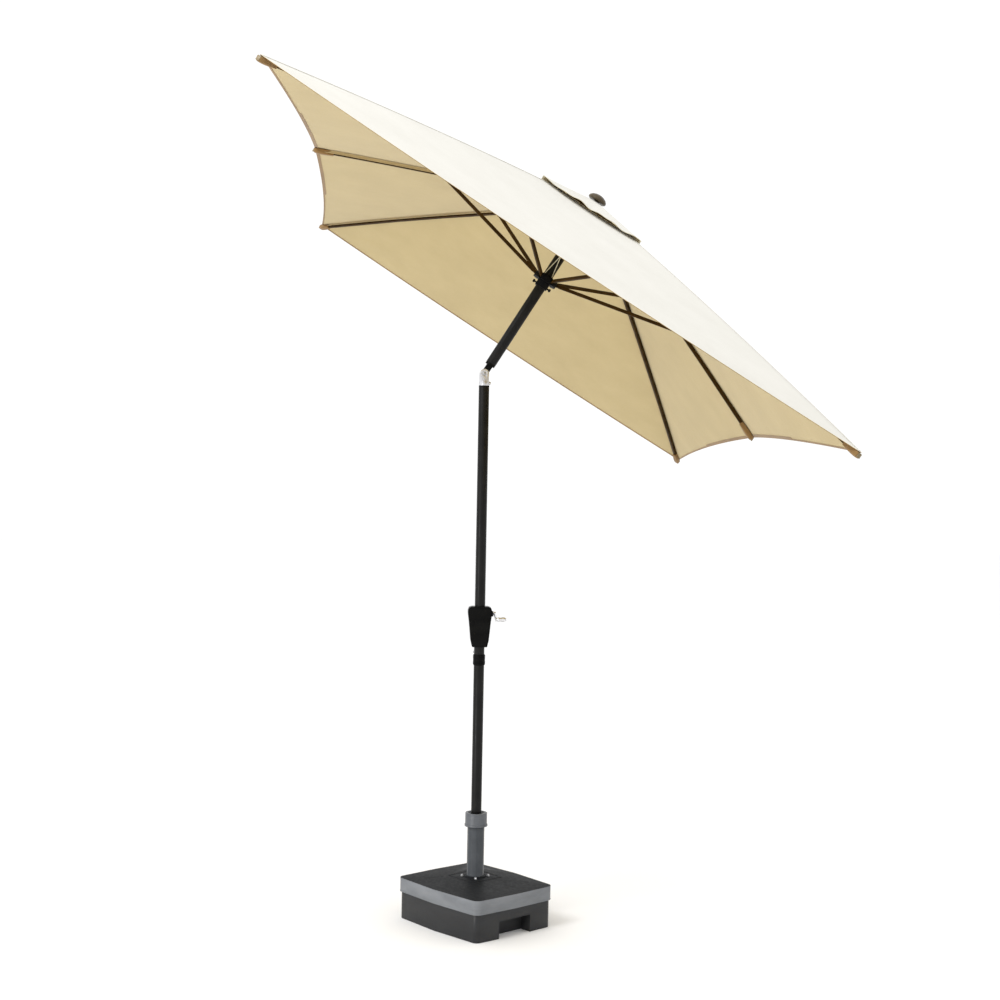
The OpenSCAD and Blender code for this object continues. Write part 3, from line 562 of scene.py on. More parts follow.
@dataclass(frozen=True)
class Canopy:
    """Sizes that the ribs, struts and cloth share, in metres and degrees."""

    tilt: float = 32.0
    pivot: float = 2.001
    width: float = 1.950
    length: float = 3.000
    hub_up: float = 0.715
    pin_ring: float = 0.030
    middle_inset: float = 0.018
    middle_drop: float = 0.377
    corner_drop: float = 0.453
    middle_slope: float = 0.38
    corner_slope: float = 0.235
    cloth_up: float = 0.0112
    scallop: float = 0.024
    side_slack: float = 0.007
    end_slack: float = 0.011
    side_edge_sag: float = 0.002
    end_edge_sag: float = 0.009
    fold_depth: float = 0.0030
    fold_reach: float = 0.16
    vent_open: float = 0.12
    vent_cover: float = 0.195
    vent_lift: float = 0.012

    @property
    def ribs(self) -> list[Rib]:
        """The six ribs, going round from the low side."""
        az = math.atan2(self.length, self.width)
        far = math.hypot(self.width, self.length) / 2 - self.pin_ring
        mid = self.width / 2 - self.middle_inset - self.pin_ring
        turns = {"mr": 0.0, "fr": az, "fl": math.pi - az, "ml": math.pi, "nl": math.pi + az, "nr": -az}
        middle = (mid, self.middle_drop, self.middle_slope)
        corner = (far, self.corner_drop, self.corner_slope)
        return [Rib(tag, turn, *(middle if tag[0] == "m" else corner)) for tag, turn in turns.items()]

    def world(self, points: np.ndarray) -> np.ndarray:
        """Turns points of the upper pole's frame into the row frame.

        Args:
            points: Rows of x, y, z with z along the upper pole from the tilt pin.

        Returns:
            The rows in the row frame.
        """
        p = np.asarray(points, float)
        c, s = math.cos(math.radians(self.tilt)), math.sin(math.radians(self.tilt))
        high = self.pivot - p[..., 0] * s + p[..., 2] * c
        return np.stack([p[..., 0] * c + p[..., 2] * s, p[..., 1], high], -1)

    def matrix(self, azimuth: float = 0.0) -> Matrix:
        """The upper pole's frame, turned about the pole to an azimuth."""
        return (Matrix.Translation((0, 0, self.pivot)) @ Matrix.Rotation(math.radians(self.tilt), 4, "Y")
                @ Matrix.Rotation(azimuth, 4, "Z"))

    def fall(self, rib: Rib, x: np.ndarray) -> np.ndarray:
        """Height along the pole of a rib's axis at x beyond its pin."""
        bend = (rib.drop - rib.slope * rib.run) / rib.run ** 2
        return self.hub_up - rib.slope * x - bend * x * x

    def on_rib(self, rib: Rib, s: np.ndarray, up: float) -> np.ndarray:
        """Points over a rib.

        Args:
            rib: The rib.
            s: Shares of its run.
            up: Height above its axis.

        Returns:
            Rows of x, y, z in the upper pole's frame.
        """
        r = self.pin_ring + s * rib.run
        high = self.fall(rib, s * rib.run) + up
        return np.stack([r * math.cos(rib.azimuth), r * math.sin(rib.azimuth), high], -1)

    def cloth(self, a: Rib, b: Rib, s: np.ndarray, t: np.ndarray, up: float) -> np.ndarray:
        """Points of the stretched cloth from rib a toward rib b.

        Args:
            a: The rib at t = 0.
            b: The rib at t = 1.
            s: Shares of the ribs' runs.
            t: Shares of the way across.
            up: Height above the ribs' axes.

        Returns:
            Rows of x, y, z in the upper pole's frame.
        """
        p, q = self.on_rib(a, s, up), self.on_rib(b, s, up)
        m = p * (1 - t)[..., None] + q * t[..., None]
        arch = 4 * t * (1 - t)
        long_sides = {"mr": 1.0, "ml": -1.0}
        side = long_sides.get(a.tag, 0.0) + long_sides.get(b.tag, 0.0)
        m[..., 0] -= side * self.scallop * arch * s ** 3
        slack = self.side_slack if side else self.end_slack
        m[..., 2] -= slack * arch * np.sin(math.pi * np.clip(s, 0, 1)) ** 0.8
        m[..., 2] -= (self.side_edge_sag if side else self.end_edge_sag) * arch * s ** 4
        m[..., 2] += self.pull(a, s, t) + self.pull(b, s, 1 - t)
        return m

    def pull(self, rib: Rib, s: np.ndarray, t: np.ndarray) -> np.ndarray:
        """Small folds that fan out from a rib's tip.

        Args:
            rib: The rib.
            s: Shares of its run.
            t: Shares of the way across from it.

        Returns:
            Heights in metres.
        """
        back = (1.0 - s) * rib.run + 0.02
        across = t * s * 1.6
        spread = np.arctan2(across, back)
        fade = np.exp(-np.hypot(across, back) / self.fold_reach) * np.clip(across / 0.02, 0, 1)
        waves = 0.5 + 0.5 * np.sin(spread * 11.0 + rib.azimuth * 3.0)
        return -self.fold_depth * fade * waves * np.clip((1.0 - s) * 14, 0, 1)


CANOPY = Canopy()


def map_flat(piece: bpy.types.Object, flat: np.ndarray) -> None:
    """Gives a piece a UV map in metres.

    Args:
        piece: The mesh piece.
        flat: One row of u, v for each point.
    """
    layer = piece.data.uv_layers.new(name="cloth")
    corner = np.zeros(len(piece.data.loops), np.int32)
    piece.data.loops.foreach_get("vertex_index", corner)
    layer.data.foreach_set("uv", flat[corner].astype(np.float32).ravel())


def sheet_faces(rows: int, columns: int) -> list:
    """Faces of a grid, its far side to the left of its near side.

    Args:
        rows: Points along.
        columns: Points across.

    Returns:
        Lists of point numbers.
    """
    return [[i * columns + j, (i + 1) * columns + j, (i + 1) * columns + j + 1, i * columns + j + 1]
            for i in range(rows - 1) for j in range(columns - 1)]


def flat_area(points: np.ndarray, faces: list) -> float:
    """The area of a mesh in square metres."""
    p = np.asarray(points)
    quads = np.array([f for f in faces if len(f) == 4])
    first, second, third, fourth = (p[quads[:, k]] for k in range(4))
    one = np.linalg.norm(np.cross(second - first, third - first), axis=1).sum()
    two = np.linalg.norm(np.cross(third - first, fourth - first), axis=1).sum()
    return float(one + two) / 2


def sheet_piece(name: str, local: np.ndarray, body: str) -> tuple[bpy.types.Object, float]:
    """Makes a sheet from a grid of points, with its UV map.

    Args:
        name: The piece's name.
        local: An array of rows, columns and x, y, z in the upper pole's frame.
        body: The body it rides on.

    Returns:
        The new piece and its area in square metres.
    """
    spots = local.reshape(-1, 3)
    points = CANOPY.world(spots)
    faces = sheet_faces(local.shape[0], local.shape[1])
    piece = mesh_piece(name, points, faces, body)
    map_flat(piece, spots[:, :2])
    return piece, flat_area(points, faces)


def around_rib(index: int, s: np.ndarray, half_columns: int, surface: Surface) -> np.ndarray:
    """Points of a cloth around a rib, from mid-panel to mid-panel.

    Args:
        index: The rib's number.
        s: Shares along the rib.
        half_columns: Steps from the rib to mid-panel.
        surface: Gives points from the rib and its neighbour, with shares along and across.

    Returns:
        An array of rows, columns and x, y, z.
    """
    ribs = CANOPY.ribs
    t = np.linspace(0, 0.5, half_columns + 1)
    wings = []
    for other, order in ((ribs[index - 1], slice(None, 0, -1)), (ribs[(index + 1) % 6], slice(None))):
        along_rib, across = np.meshgrid(s, t[order], indexing="ij")
        wings.append(surface(ribs[index], other, along_rib, across))
    return np.concatenate(wings, 1)


def declare_sheet(piece: bpy.types.Object, local: np.ndarray, area: float) -> None:
    """Measures a stretched sheet's length along its middle and its widest width, and takes the smaller of its
    area and their product, keeping no result.

    Args:
        piece: The sheet; not used.
        local: An array of rows, columns and x, y, z.
        area: Its flat area in square metres.
    """
    middle = local.shape[1] // 2
    long = float(np.linalg.norm(np.diff(local[:, middle], axis=0), axis=1).sum())
    wide = float(np.linalg.norm(np.diff(local, axis=1), axis=2).sum(1).max())
    min(area, round(wide, 4) * round(long, 4))


# ---------------------------------------------------------------- canopy cloth


@dataclass
class ClothPanels:
    """The main cloth, its folded hems, seams and tip pockets, one set on each rib."""

    rows: int = 72
    half_columns: int = 26
    thick: float = 0.0008
    hem: float = 0.012
    seam: float = 0.011
    pocket_long: float = 0.072
    keep: float = 0.86

    def grid(self, index: int, s: np.ndarray, up: float) -> np.ndarray:
        """Points of the cloth around a rib.

        Args:
            index: The rib's number.
            s: Shares of the ribs' runs.
            up: Height above the ribs' axes.

        Returns:
            An array of rows, columns and x, y, z.
        """
        return around_rib(index, s, self.half_columns, lambda a, b, ss, t: CANOPY.cloth(a, b, ss, t, up))

    def narrow_with_fold(self, piece: bpy.types.Object, rib: Rib) -> None:
        """Gives a cloth piece its own copy of its mesh.

        Args:
            piece: The cloth piece.
            rib: The rib it rides on.
        """
        across = CANOPY.world(rib.aside) - CANOPY.world(np.zeros(3))
        anchor = CANOPY.world(np.array([0.0, 0.0, CANOPY.hub_up]))
        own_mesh(piece)

    def panel(self, index: int) -> bpy.types.Object:
        """Makes the main cloth around one rib.

        Args:
            index: The rib's number.

        Returns:
            The sheet.
        """
        rib = CANOPY.ribs[index]
        s = np.linspace(CANOPY.vent_open, 1, self.rows) ** 0.97
        s[0], s[-1] = CANOPY.vent_open, 1.0
        local = self.grid(index, s, CANOPY.cloth_up)
        piece, area = sheet_piece("cloth_" + rib.tag, local, rib.body)
        # The underside and the cut edge take tan finishes with painted shade.
        self.skin(piece, self.thick, Finish.CLOTH_TOP, Finish.CLOTH_UNDER_PAINTED_SHADE, Finish.CLOTH_SEAM_PAINTED_SHADE)
        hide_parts("canopy_" + rib.tag)
        declare_sheet(piece, local, area)
        self.narrow_with_fold(piece, rib)
        return piece

    def skin(self, piece: bpy.types.Object, thick: float, top: Finish, under: Finish, rim: Finish) -> None:
        """Gives a sheet its thickness and finishes.

        Args:
            piece: The sheet.
            thick: Its thickness.
            top: The outer side's finish.
            under: The inner side's finish.
            rim: The edge's finish.
        """
        coat(piece, top, under, rim)
        apply_modifier(piece, "SOLIDIFY", thickness=thick, offset=-1.0,
                       material_offset=1, material_offset_rim=2)
        smooth(piece, 40)

    def strip(self, name: str, local: np.ndarray, rib: Rib, finish: Finish, thick: float) -> bpy.types.Object:
        """Makes a narrow sewn strip of cloth.

        Args:
            name: The piece's name.
            local: An array of rows, columns and x, y, z in the upper pole's frame.
            rib: The rib it rides on.
            finish: Its finish.
            thick: Its thickness.

        Returns:
            The sheet.
        """
        piece, area = sheet_piece(name, local, rib.body)
        self.skin(piece, thick, finish, finish, finish)
        declare_sheet(piece, local, area)
        self.narrow_with_fold(piece, rib)
        return piece

    def hems(self, index: int) -> None:
        """Makes the folded hem under the outer edge around one rib."""
        rib = CANOPY.ribs[index]
        inner = 1.0 - self.hem / rib.run
        s = np.array([inner, (inner + 1) / 2, 1.0 - 0.0004])
        local = self.grid(index, s, CANOPY.cloth_up - self.thick - 0.0002)
        # The hem is painted dark brown: painted shade.
        self.strip("hem_" + rib.tag, local, rib, Finish.CLOTH_FOLD_PAINTED_SHADE, 0.0009)

    def seams(self, index: int) -> None:
        """Makes the flat seam over a rib and the seam allowance beside it underneath."""
        rib = CANOPY.ribs[index]
        s = np.linspace(CANOPY.vent_open, 0.995, self.rows)
        axis = CANOPY.on_rib(rib, s, CANOPY.cloth_up)
        ridge = ((-0.5, -0.0004), (-0.4, 0.0006), (0.0, 0.0012), (0.4, 0.0006), (0.5, -0.0004))
        columns = [axis + rib.aside * self.seam * w + np.array([0, 0, h]) for w, h in ridge]
        self.strip("seam_" + rib.tag, np.stack(columns, 1), rib, Finish.CLOTH_TOP, 0.0006)
        low = s[(s > 0.16) & (s < 0.96)]
        axis = CANOPY.on_rib(rib, low, CANOPY.cloth_up - 0.0016)
        flap = [axis + rib.aside * w + np.array([0, 0, h]) for w, h in
                ((0.0075, -0.0015), (0.0085, -0.006), (0.010, -0.0105), (0.0125, -0.0135))]
        # The seam flap is painted tan: painted shade, a little lighter for the light falling on it.
        self.strip("seam_flap_" + rib.tag, np.stack(flap, 1), rib, Finish.CLOTH_SEAM_PAINTED_SHADE, 0.0008)

    def pocket(self, index: int) -> bpy.types.Object:
        """Sews the pocket that holds a rib's tip.

        Args:
            index: The rib's number.

        Returns:
            The pocket.
        """
        rib = CANOPY.ribs[index]
        long = self.pocket_long
        piece = block((long, 0.025, 0.019))
        piece.name = "pocket_" + rib.tag
        bpy.ops.object.mode_set(mode="EDIT")
        bpy.ops.mesh.subdivide(number_cuts=4)
        choose(piece, "verts", lambda v: v.co.x < -long * 0.3)
        bpy.ops.transform.resize(value=(1, 0.66, 0.86), center_override=(0, 0, 0))
        choose(piece, "verts", lambda v: v.co.z < -0.0085)
        bpy.ops.transform.resize(value=(1, 0.62, 1), center_override=(0, 0, 0))
        choose(piece, "verts", lambda v: v.co.x > long * 0.45)
        bpy.ops.transform.resize(value=(1, 0.80, 0.80), center_override=(0, 0, 0.004))
        bpy.ops.object.mode_set(mode="OBJECT")
        x = rib.run - long / 2 - 0.002
        slope = math.atan2(float(CANOPY.fall(rib, x - 0.03) - CANOPY.fall(rib, x + 0.03)), 0.06)
        middle = Matrix.Translation((CANOPY.pin_ring + x, 0, float(CANOPY.fall(rib, x)) - 0.0026))
        piece.matrix_world = CANOPY.matrix(rib.azimuth) @ middle @ Matrix.Rotation(slope, 4, "Y")
        settle(piece)
        apply_modifier(piece, "SUBSURF", levels=2, render_levels=2)
        smooth(piece, 60)
        take(piece)
        bpy.ops.object.mode_set(mode="EDIT")
        bpy.ops.mesh.select_all(action="SELECT")
        bpy.ops.uv.cube_project(cube_size=1.0)
        bpy.ops.object.mode_set(mode="OBJECT")
        # The pocket is painted dark brown: painted shade.
        coat(piece, Finish.CLOTH_FOLD_PAINTED_SHADE)
        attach(piece, rib.body)
        return piece

    def build(self) -> None:
        """Builds the cloth around every rib."""
        for index, rib in enumerate(CANOPY.ribs):
            self.panel(index)
            self.hems(index)
            self.seams(index)
            self.pocket(index)
            log.info("cloth, hem, seams and pocket on %s", rib.tag)


@dataclass
class VentCap:
    """The raised top cloth over the vent, a wedge on each rib, with a rippled edge."""

    rows: int = 26
    half_columns: int = 18
    thick: float = 0.0008
    centre: float = 0.020
    centre_up: float = 0.0292
    slack: float = 0.004
    ripples: tuple = ((0.0026, 17.0, 0.0), (0.0018, 29.0, 1.0))
    panels: ClothPanels = field(default_factory=ClothPanels)

    def surface(self, rib: Rib, other: Rib, s: np.ndarray, t: np.ndarray) -> np.ndarray:
        """Points of the vent cloth from one rib toward another.

        Args:
            rib: The rib at t = 0.
            other: The rib at t = 1.
            s: Shares from the middle to the edge.
            t: Shares of the way across.

        Returns:
            Rows of x, y, z in the upper pole's frame.
        """
        ends = []
        for r in (rib, other):
            near = np.array([self.centre * math.cos(r.azimuth), self.centre * math.sin(r.azimuth),
                             CANOPY.hub_up + self.centre_up])
            far = CANOPY.on_rib(r, np.array(CANOPY.vent_cover), CANOPY.cloth_up + CANOPY.vent_lift)
            ends.append(near * (1 - s)[..., None] + far * s[..., None])
        m = ends[0] * (1 - t)[..., None] + ends[1] * t[..., None]
        angle = np.arctan2(m[..., 1], m[..., 0])
        ripple = sum(high * np.sin(angle * waves + start) for high, waves, start in self.ripples)
        m[..., 2] += s ** 4 * ripple
        m[..., 2] -= self.slack * s * (1 - s) * 4 * t * (1 - t) * 4
        return m

    def wedge(self, index: int) -> bpy.types.Object:
        """Makes the vent cloth around one rib.

        Args:
            index: The rib's number.

        Returns:
            The sheet.
        """
        rib = CANOPY.ribs[index]
        local = around_rib(index, np.linspace(0, 1, self.rows), self.half_columns, self.surface)
        piece, area = sheet_piece("vent_" + rib.tag, local, rib.body)
        # The underside takes the tan finish with painted shade, and the edge takes the yellowish finish with
        # a painted shadow.
        self.panels.skin(piece, self.thick, Finish.CLOTH_TOP, Finish.CLOTH_UNDER_PAINTED_SHADE, Finish.CLOTH_RIM_PAINTED_SHADOW)
        declare_sheet(piece, local, area)
        self.panels.narrow_with_fold(piece, rib)
        edge = local[-2:, :, :].copy()
        middle = self.half_columns
        share = self.panels.hem / float(np.linalg.norm(local[-1, middle] - local[0, middle]))
        edge[0] = local[-1] * (1 - share) + local[0] * share
        edge[..., 2] -= self.thick + 0.0003
        # The hem strip under the vent's edge is painted yellowish: a painted shadow line.
        self.panels.strip("vent_hem_" + rib.tag, edge, rib, Finish.CLOTH_RIM_PAINTED_SHADOW, 0.0008)
        return piece

    def build(self) -> None:
        """Builds the six wedges."""
        pieces = [self.wedge(index) for index in range(6)]
        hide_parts("vent_cap")
        log.info("vent cap of %d wedges", len(pieces))


# ---------------------------------------------------------------- hard pieces


@dataclass(frozen=True)
class CarriedPiece:
    """A CAD piece that is carried over with rounded edges and a finish."""

    node: str
    body: str
    finish: Finish
    radius: float = 0.0008

    def make(self) -> bpy.types.Object:
        """Makes the rounded copy and logs it."""
        piece = rounded_copy(self.node, self.body, self.finish, self.radius)
        log.info("%s rides on %s", self.node, self.body)
        return piece


def carry(*pieces: CarriedPiece) -> None:
    """Makes several carried pieces."""
    for piece in pieces:
        piece.make()


def fitted(piece: bpy.types.Object, name: str, place: Matrix, body: str, finish: Finish,
           angle: float = 35.0) -> bpy.types.Object:
    """Finishes a piece modelled at the origin and puts it in its place.

    Args:
        piece: The piece, modelled about the origin.
        name: Its name.
        place: Its place in the row frame.
        body: The body it rides on.
        finish: Its finish.
        angle: The sharpest angle that is shaded smooth.

    Returns:
        The piece.
    """
    piece.name = name
    piece.matrix_world = place @ piece.matrix_world
    settle(piece)
    smooth(piece, angle)
    coat(piece, finish)
    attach(piece, body)
    return piece


def turned(profile: list, steps: int = 40) -> bpy.types.Object:
    """Spins a profile about Z into a closed shape.

    Args:
        profile: Pairs of radius and height, closed from the last to the first.
        steps: Steps round.

    Returns:
        The new piece at the origin.
    """
    clear_selection()
    bpy.ops.mesh.primitive_circle_add(vertices=len(profile), radius=1.0)
    piece = bpy.context.object
    for vertex, (r, z) in zip(piece.data.vertices, profile):
        vertex.co = (r, 0, z)
    bpy.ops.object.mode_set(mode="EDIT")
    bpy.ops.mesh.select_all(action="SELECT")
    bpy.ops.mesh.spin(steps=steps, angle=2 * math.pi, center=(0, 0, 0), axis=(0, 0, 1))
    bpy.ops.mesh.select_all(action="SELECT")
    bpy.ops.mesh.remove_doubles(threshold=0.00001)
    bpy.ops.mesh.normals_make_consistent(inside=False)
    bpy.ops.object.mode_set(mode="OBJECT")
    return piece


def merged(pieces: list[bpy.types.Object]) -> bpy.types.Object:
    """Joins pieces into the first one."""
    clear_selection()
    for piece in pieces:
        piece.select_set(True)
    bpy.context.view_layer.objects.active = pieces[0]
    bpy.ops.object.join()
    return pieces[0]


def copied(piece: bpy.types.Object, places: list[Matrix]) -> bpy.types.Object:
    """Copies a piece to several places, each with its own mesh, as one piece.

    Args:
        piece: The piece at the origin.
        places: One place for each copy.

    Returns:
        The joined copies.
    """
    copies = []
    for place in places:
        copy = bpy.data.objects.new(piece.name, piece.data.copy())
        bpy.context.collection.objects.link(copy)
        copy.matrix_world = place
        settle(copy)
        copies.append(copy)
    bpy.data.objects.remove(piece)
    return merged(copies)


def dome(radius: float, high: float) -> bpy.types.Object:
    """Makes a domed rivet or screw head standing on Z = 0."""
    sunk = -0.0004
    outline = [(0.0, sunk), (radius, sunk), (radius, 0.0), (radius, 0.35 * high), (0.85 * radius, 0.7 * high),
               (0.5 * radius, 0.93 * high), (0.0, high)]
    return turned(outline, 24)


def along(axis: str) -> Matrix:
    """Turns Z to an axis, +X, -X, +Y or -Y."""
    about = {"X": "Y", "Y": "X"}[axis[1]]
    turn = math.pi / 2 if axis in ("+X", "-Y") else -math.pi / 2
    return Matrix.Rotation(turn, 4, about)


@dataclass
class FillableBase:
    """The oblong tank with its lid, skirt band, filler and hand notch, bulging a little at mid-side."""

    wide: float = 0.370
    long: float = 0.446
    notch_bulge: float = 0.005
    side_bulge: float = 0.011
    turn: float = math.radians(38.5)
    tank_high: float = 0.100
    skirt_top: float = 0.150
    panel: float = 0.140
    panel_top: float = 0.168
    notch_high: float = 0.062
    notch_rib_pitch: float = 0.018
    corner: float = 0.028

    def build(self) -> None:
        """Builds the base's pieces."""
        CarriedPiece("tank", "base", Finish.TANK, 0.0016).make()
        lid = CarriedPiece("lid", "base", Finish.LID, 0.0012).make()
        self.band(lid)
        CarriedPiece("filler_cap", "filler_cap", Finish.BLACK, 0.0007).make()
        coat(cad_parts["ballast"], Finish.WATER)
        self.filler_grip()
        self.panel_lines()
        self.notch_ribs()
        self.rim_bead()

    def band(self, lid: bpy.types.Object) -> None:
        """Gives the lid's skirt its paler finish."""
        lid.data.materials.append(Finish.SKIRT.material)
        for face in lid.data.polygons:
            if face.center.z < self.skirt_top - 0.0008 and math.hypot(face.normal.x, face.normal.y) > 0.5:
                face.material_index = 1

    def place(self, x: float, y: float, z: float) -> Matrix:
        """A place given along the tank's own sides."""
        return Matrix.Rotation(self.turn, 4, "Z") @ Matrix.Translation((x, y, z))

    def filler_grip(self) -> None:
        """Makes the raised grip across the filler cap."""
        grip = block((0.030, 0.006, 0.005))
        bpy.ops.object.mode_set(mode="EDIT")
        choose(grip, "edges", lambda e: abs(e.verts[0].co.z - e.verts[1].co.z) > 0.001)
        bpy.ops.mesh.bevel(offset=0.0025, segments=4)
        bpy.ops.object.mode_set(mode="OBJECT")
        soften(grip, 0.0008)
        low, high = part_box("filler_cap")
        place = Matrix.Translation(((low[0] + high[0]) / 2, (low[1] + high[1]) / 2, high[2] + 0.0022))
        fitted(grip, "filler_grip", place, "filler_cap", Finish.BLACK)

    def panel_lines(self) -> None:
        """Makes the fine step round the lid's raised middle panel."""
        clear_selection()
        bpy.ops.mesh.primitive_plane_add(size=self.panel)
        line = bpy.context.object
        bpy.ops.object.mode_set(mode="EDIT")
        bpy.ops.mesh.select_all(action="SELECT")
        bpy.ops.mesh.inset(thickness=0.0028)
        bpy.ops.mesh.delete(type="FACE")
        bpy.ops.mesh.select_all(action="SELECT")
        bpy.ops.mesh.extrude_region_move(TRANSFORM_OT_translate={"value": (0, 0, 0.0012)})
        bpy.ops.mesh.select_all(action="SELECT")
        bpy.ops.mesh.normals_make_consistent(inside=False)
        bpy.ops.object.mode_set(mode="OBJECT")
        soften(line, 0.0005)
        fitted(line, "panel_step", self.place(0, 0, self.panel_top - 0.0004), "base", Finish.LID)

    def notch_ribs(self) -> None:
        """Makes the plain upright ribs over the hand notch."""
        rib = block((0.0028, 0.0030, 0.017))
        soften(rib, 0.0009)
        wall = -self.long / 2 + 0.006 - 0.75 * self.notch_bulge
        places = [self.place(k * self.notch_rib_pitch, wall + abs(k * self.notch_rib_pitch) * 0.03,
                             self.notch_high + 0.018) for k in range(-2, 3)]
        fitted(copied(rib, places), "notch_ribs", Matrix(), "base", Finish.TANK)

    def rim_bead(self) -> None:
        """Makes the thin bead where the skirt overlaps the tank."""
        clear_selection()
        bpy.ops.mesh.primitive_plane_add(size=1)
        bead = bpy.context.object
        bpy.ops.object.mode_set(mode="EDIT")
        bpy.ops.mesh.subdivide(number_cuts=1)
        bpy.ops.object.mode_set(mode="OBJECT")
        for vertex in bead.data.vertices:
            x, y = vertex.co.x * 2, vertex.co.y * 2
            reach = self.wide / 2 + (self.side_bulge if abs(y) < 0.5 else 0.0)
            depth = self.long / 2 + (self.notch_bulge if abs(x) < 0.5 else 0.0)
            vertex.co = (x * reach, y * depth, 0)
        bpy.ops.object.mode_set(mode="EDIT")
        choose(bead, "verts", lambda v: min(abs(v.co.x), abs(v.co.y)) > 0.1)
        bpy.ops.mesh.bevel(offset=self.corner, segments=8, affect="VERTICES")
        bpy.ops.mesh.select_all(action="SELECT")
        bpy.ops.mesh.dissolve_limited(angle_limit=0.01, use_dissolve_boundaries=False)
        bpy.ops.mesh.select_all(action="SELECT")
        bpy.ops.mesh.inset(thickness=0.0040)
        bpy.ops.mesh.delete(type="FACE")
        bpy.ops.mesh.select_all(action="SELECT")
        bpy.ops.mesh.extrude_region_move(TRANSFORM_OT_translate={"value": (0, 0, 0.0030)})
        bpy.ops.mesh.select_all(action="SELECT")
        bpy.ops.mesh.normals_make_consistent(inside=False)
        bpy.ops.transform.resize(value=(1.0022, 1.0022, 1), center_override=(0, 0, 0))
        bpy.ops.object.mode_set(mode="OBJECT")
        soften(bead, 0.0009)
        fitted(bead, "skirt_bead", self.place(0, 0, self.tank_high - 0.0005), "base", Finish.SKIRT)


@dataclass
class PoleSocket:
    """The twelve-sided socket tube with its collet and clamp ring."""

    tube_wide: float = 0.062
    lid_top: float = 0.168
    sides: int = 12

    def build(self) -> None:
        """Builds the socket's pieces."""
        carry(CarriedPiece("socket_tube", "base", Finish.SOCKET, 0.0012),
              CarriedPiece("socket_bolts", "base", Finish.STEEL, 0.0005),
              CarriedPiece("collet", "base", Finish.BLACK, 0.0005),
              CarriedPiece("clamp_ring", "clamp_ring", Finish.CLAMP, 0.0018))
        self.collar()
        self.grips()

    def collar(self) -> None:
        """Makes the rolled ring where the tube enters the lid."""
        r = self.tube_wide / 2
        ring = turned([(r - 0.0005, 0), (r + 0.0072, 0), (r + 0.0066, 0.0034), (r + 0.004, 0.0052),
                       (r - 0.0005, 0.0056)], 48)
        place = Matrix.Translation((0, 0, self.lid_top - 0.0008))
        fitted(ring, "socket_collar", place, "base", Finish.LID)

    def grips(self) -> None:
        """Makes the shallow grip ribs round the clamp ring's upper band."""
        low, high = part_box("clamp_ring")
        radius = (high[0] - low[0]) / 2 - 0.0045
        rib = block((0.0030, 0.0050, 0.026))
        soften(rib, 0.0012)
        half_side = 180 / self.sides
        flat = radius * math.cos(math.radians(half_side)) + 0.0012
        out = Matrix.Translation((flat, 0, (low[2] + high[2]) / 2 + 0.004))
        places = [Matrix.Rotation(math.radians(half_side * (2 * k + 1)), 4, "Z") @ out
                  for k in range(self.sides)]
        fitted(copied(rib, places), "clamp_grips", Matrix(), "clamp_ring", Finish.CLAMP)


@dataclass
class Mast:
    """The two mast tubes, their coupling, and the button that locks them."""

    pole_r: float = 0.019
    top: float = 1.958
    coupling_up: float = 0.960
    coupling_long: float = 0.039

    def build(self) -> None:
        """Builds the mast's pieces."""
        carry(CarriedPiece("lower_tube", "mast", Finish.POLE, 0.0005),
              CarriedPiece("mast_tube", "mast", Finish.POLE, 0.0005),
              CarriedPiece("coupling_sleeve", "mast", Finish.BLACK, 0.0012),
              CarriedPiece("snap_button", "snap_button", Finish.STEEL, 0.0008))
        self.sleeve_rings()
        self.top_lip()

    def sleeve_rings(self) -> None:
        """Makes the raised grip rings round the coupling sleeve."""
        low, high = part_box("coupling_sleeve")
        r = (high[0] - low[0]) / 2
        ring = turned([(r - 0.0006, -0.0012), (r + 0.0006, -0.0008), (r + 0.0009, 0), (r + 0.0006, 0.0008),
                       (r - 0.0006, 0.0012)], 48)
        half = self.coupling_long / 2
        places = [Matrix.Translation((0, 0, self.coupling_up + z)) for z in
                  (-half + 0.004, -half + 0.008, -half + 0.012, half - 0.012, half - 0.008, half - 0.004)]
        fitted(copied(ring, places), "sleeve_rings", Matrix(), "mast", Finish.BLACK)

    def top_lip(self) -> None:
        """Makes the rolled lip near the top of the mast tube."""
        r = self.pole_r
        lip = turned([(r - 0.0002, 0), (r + 0.0005, 0.0002), (r + 0.0006, 0.0012), (r - 0.0002, 0.0022)], 48)
        fitted(lip, "mast_lip", Matrix.Translation((0, 0, self.top - 0.004)), "mast", Finish.POLE)


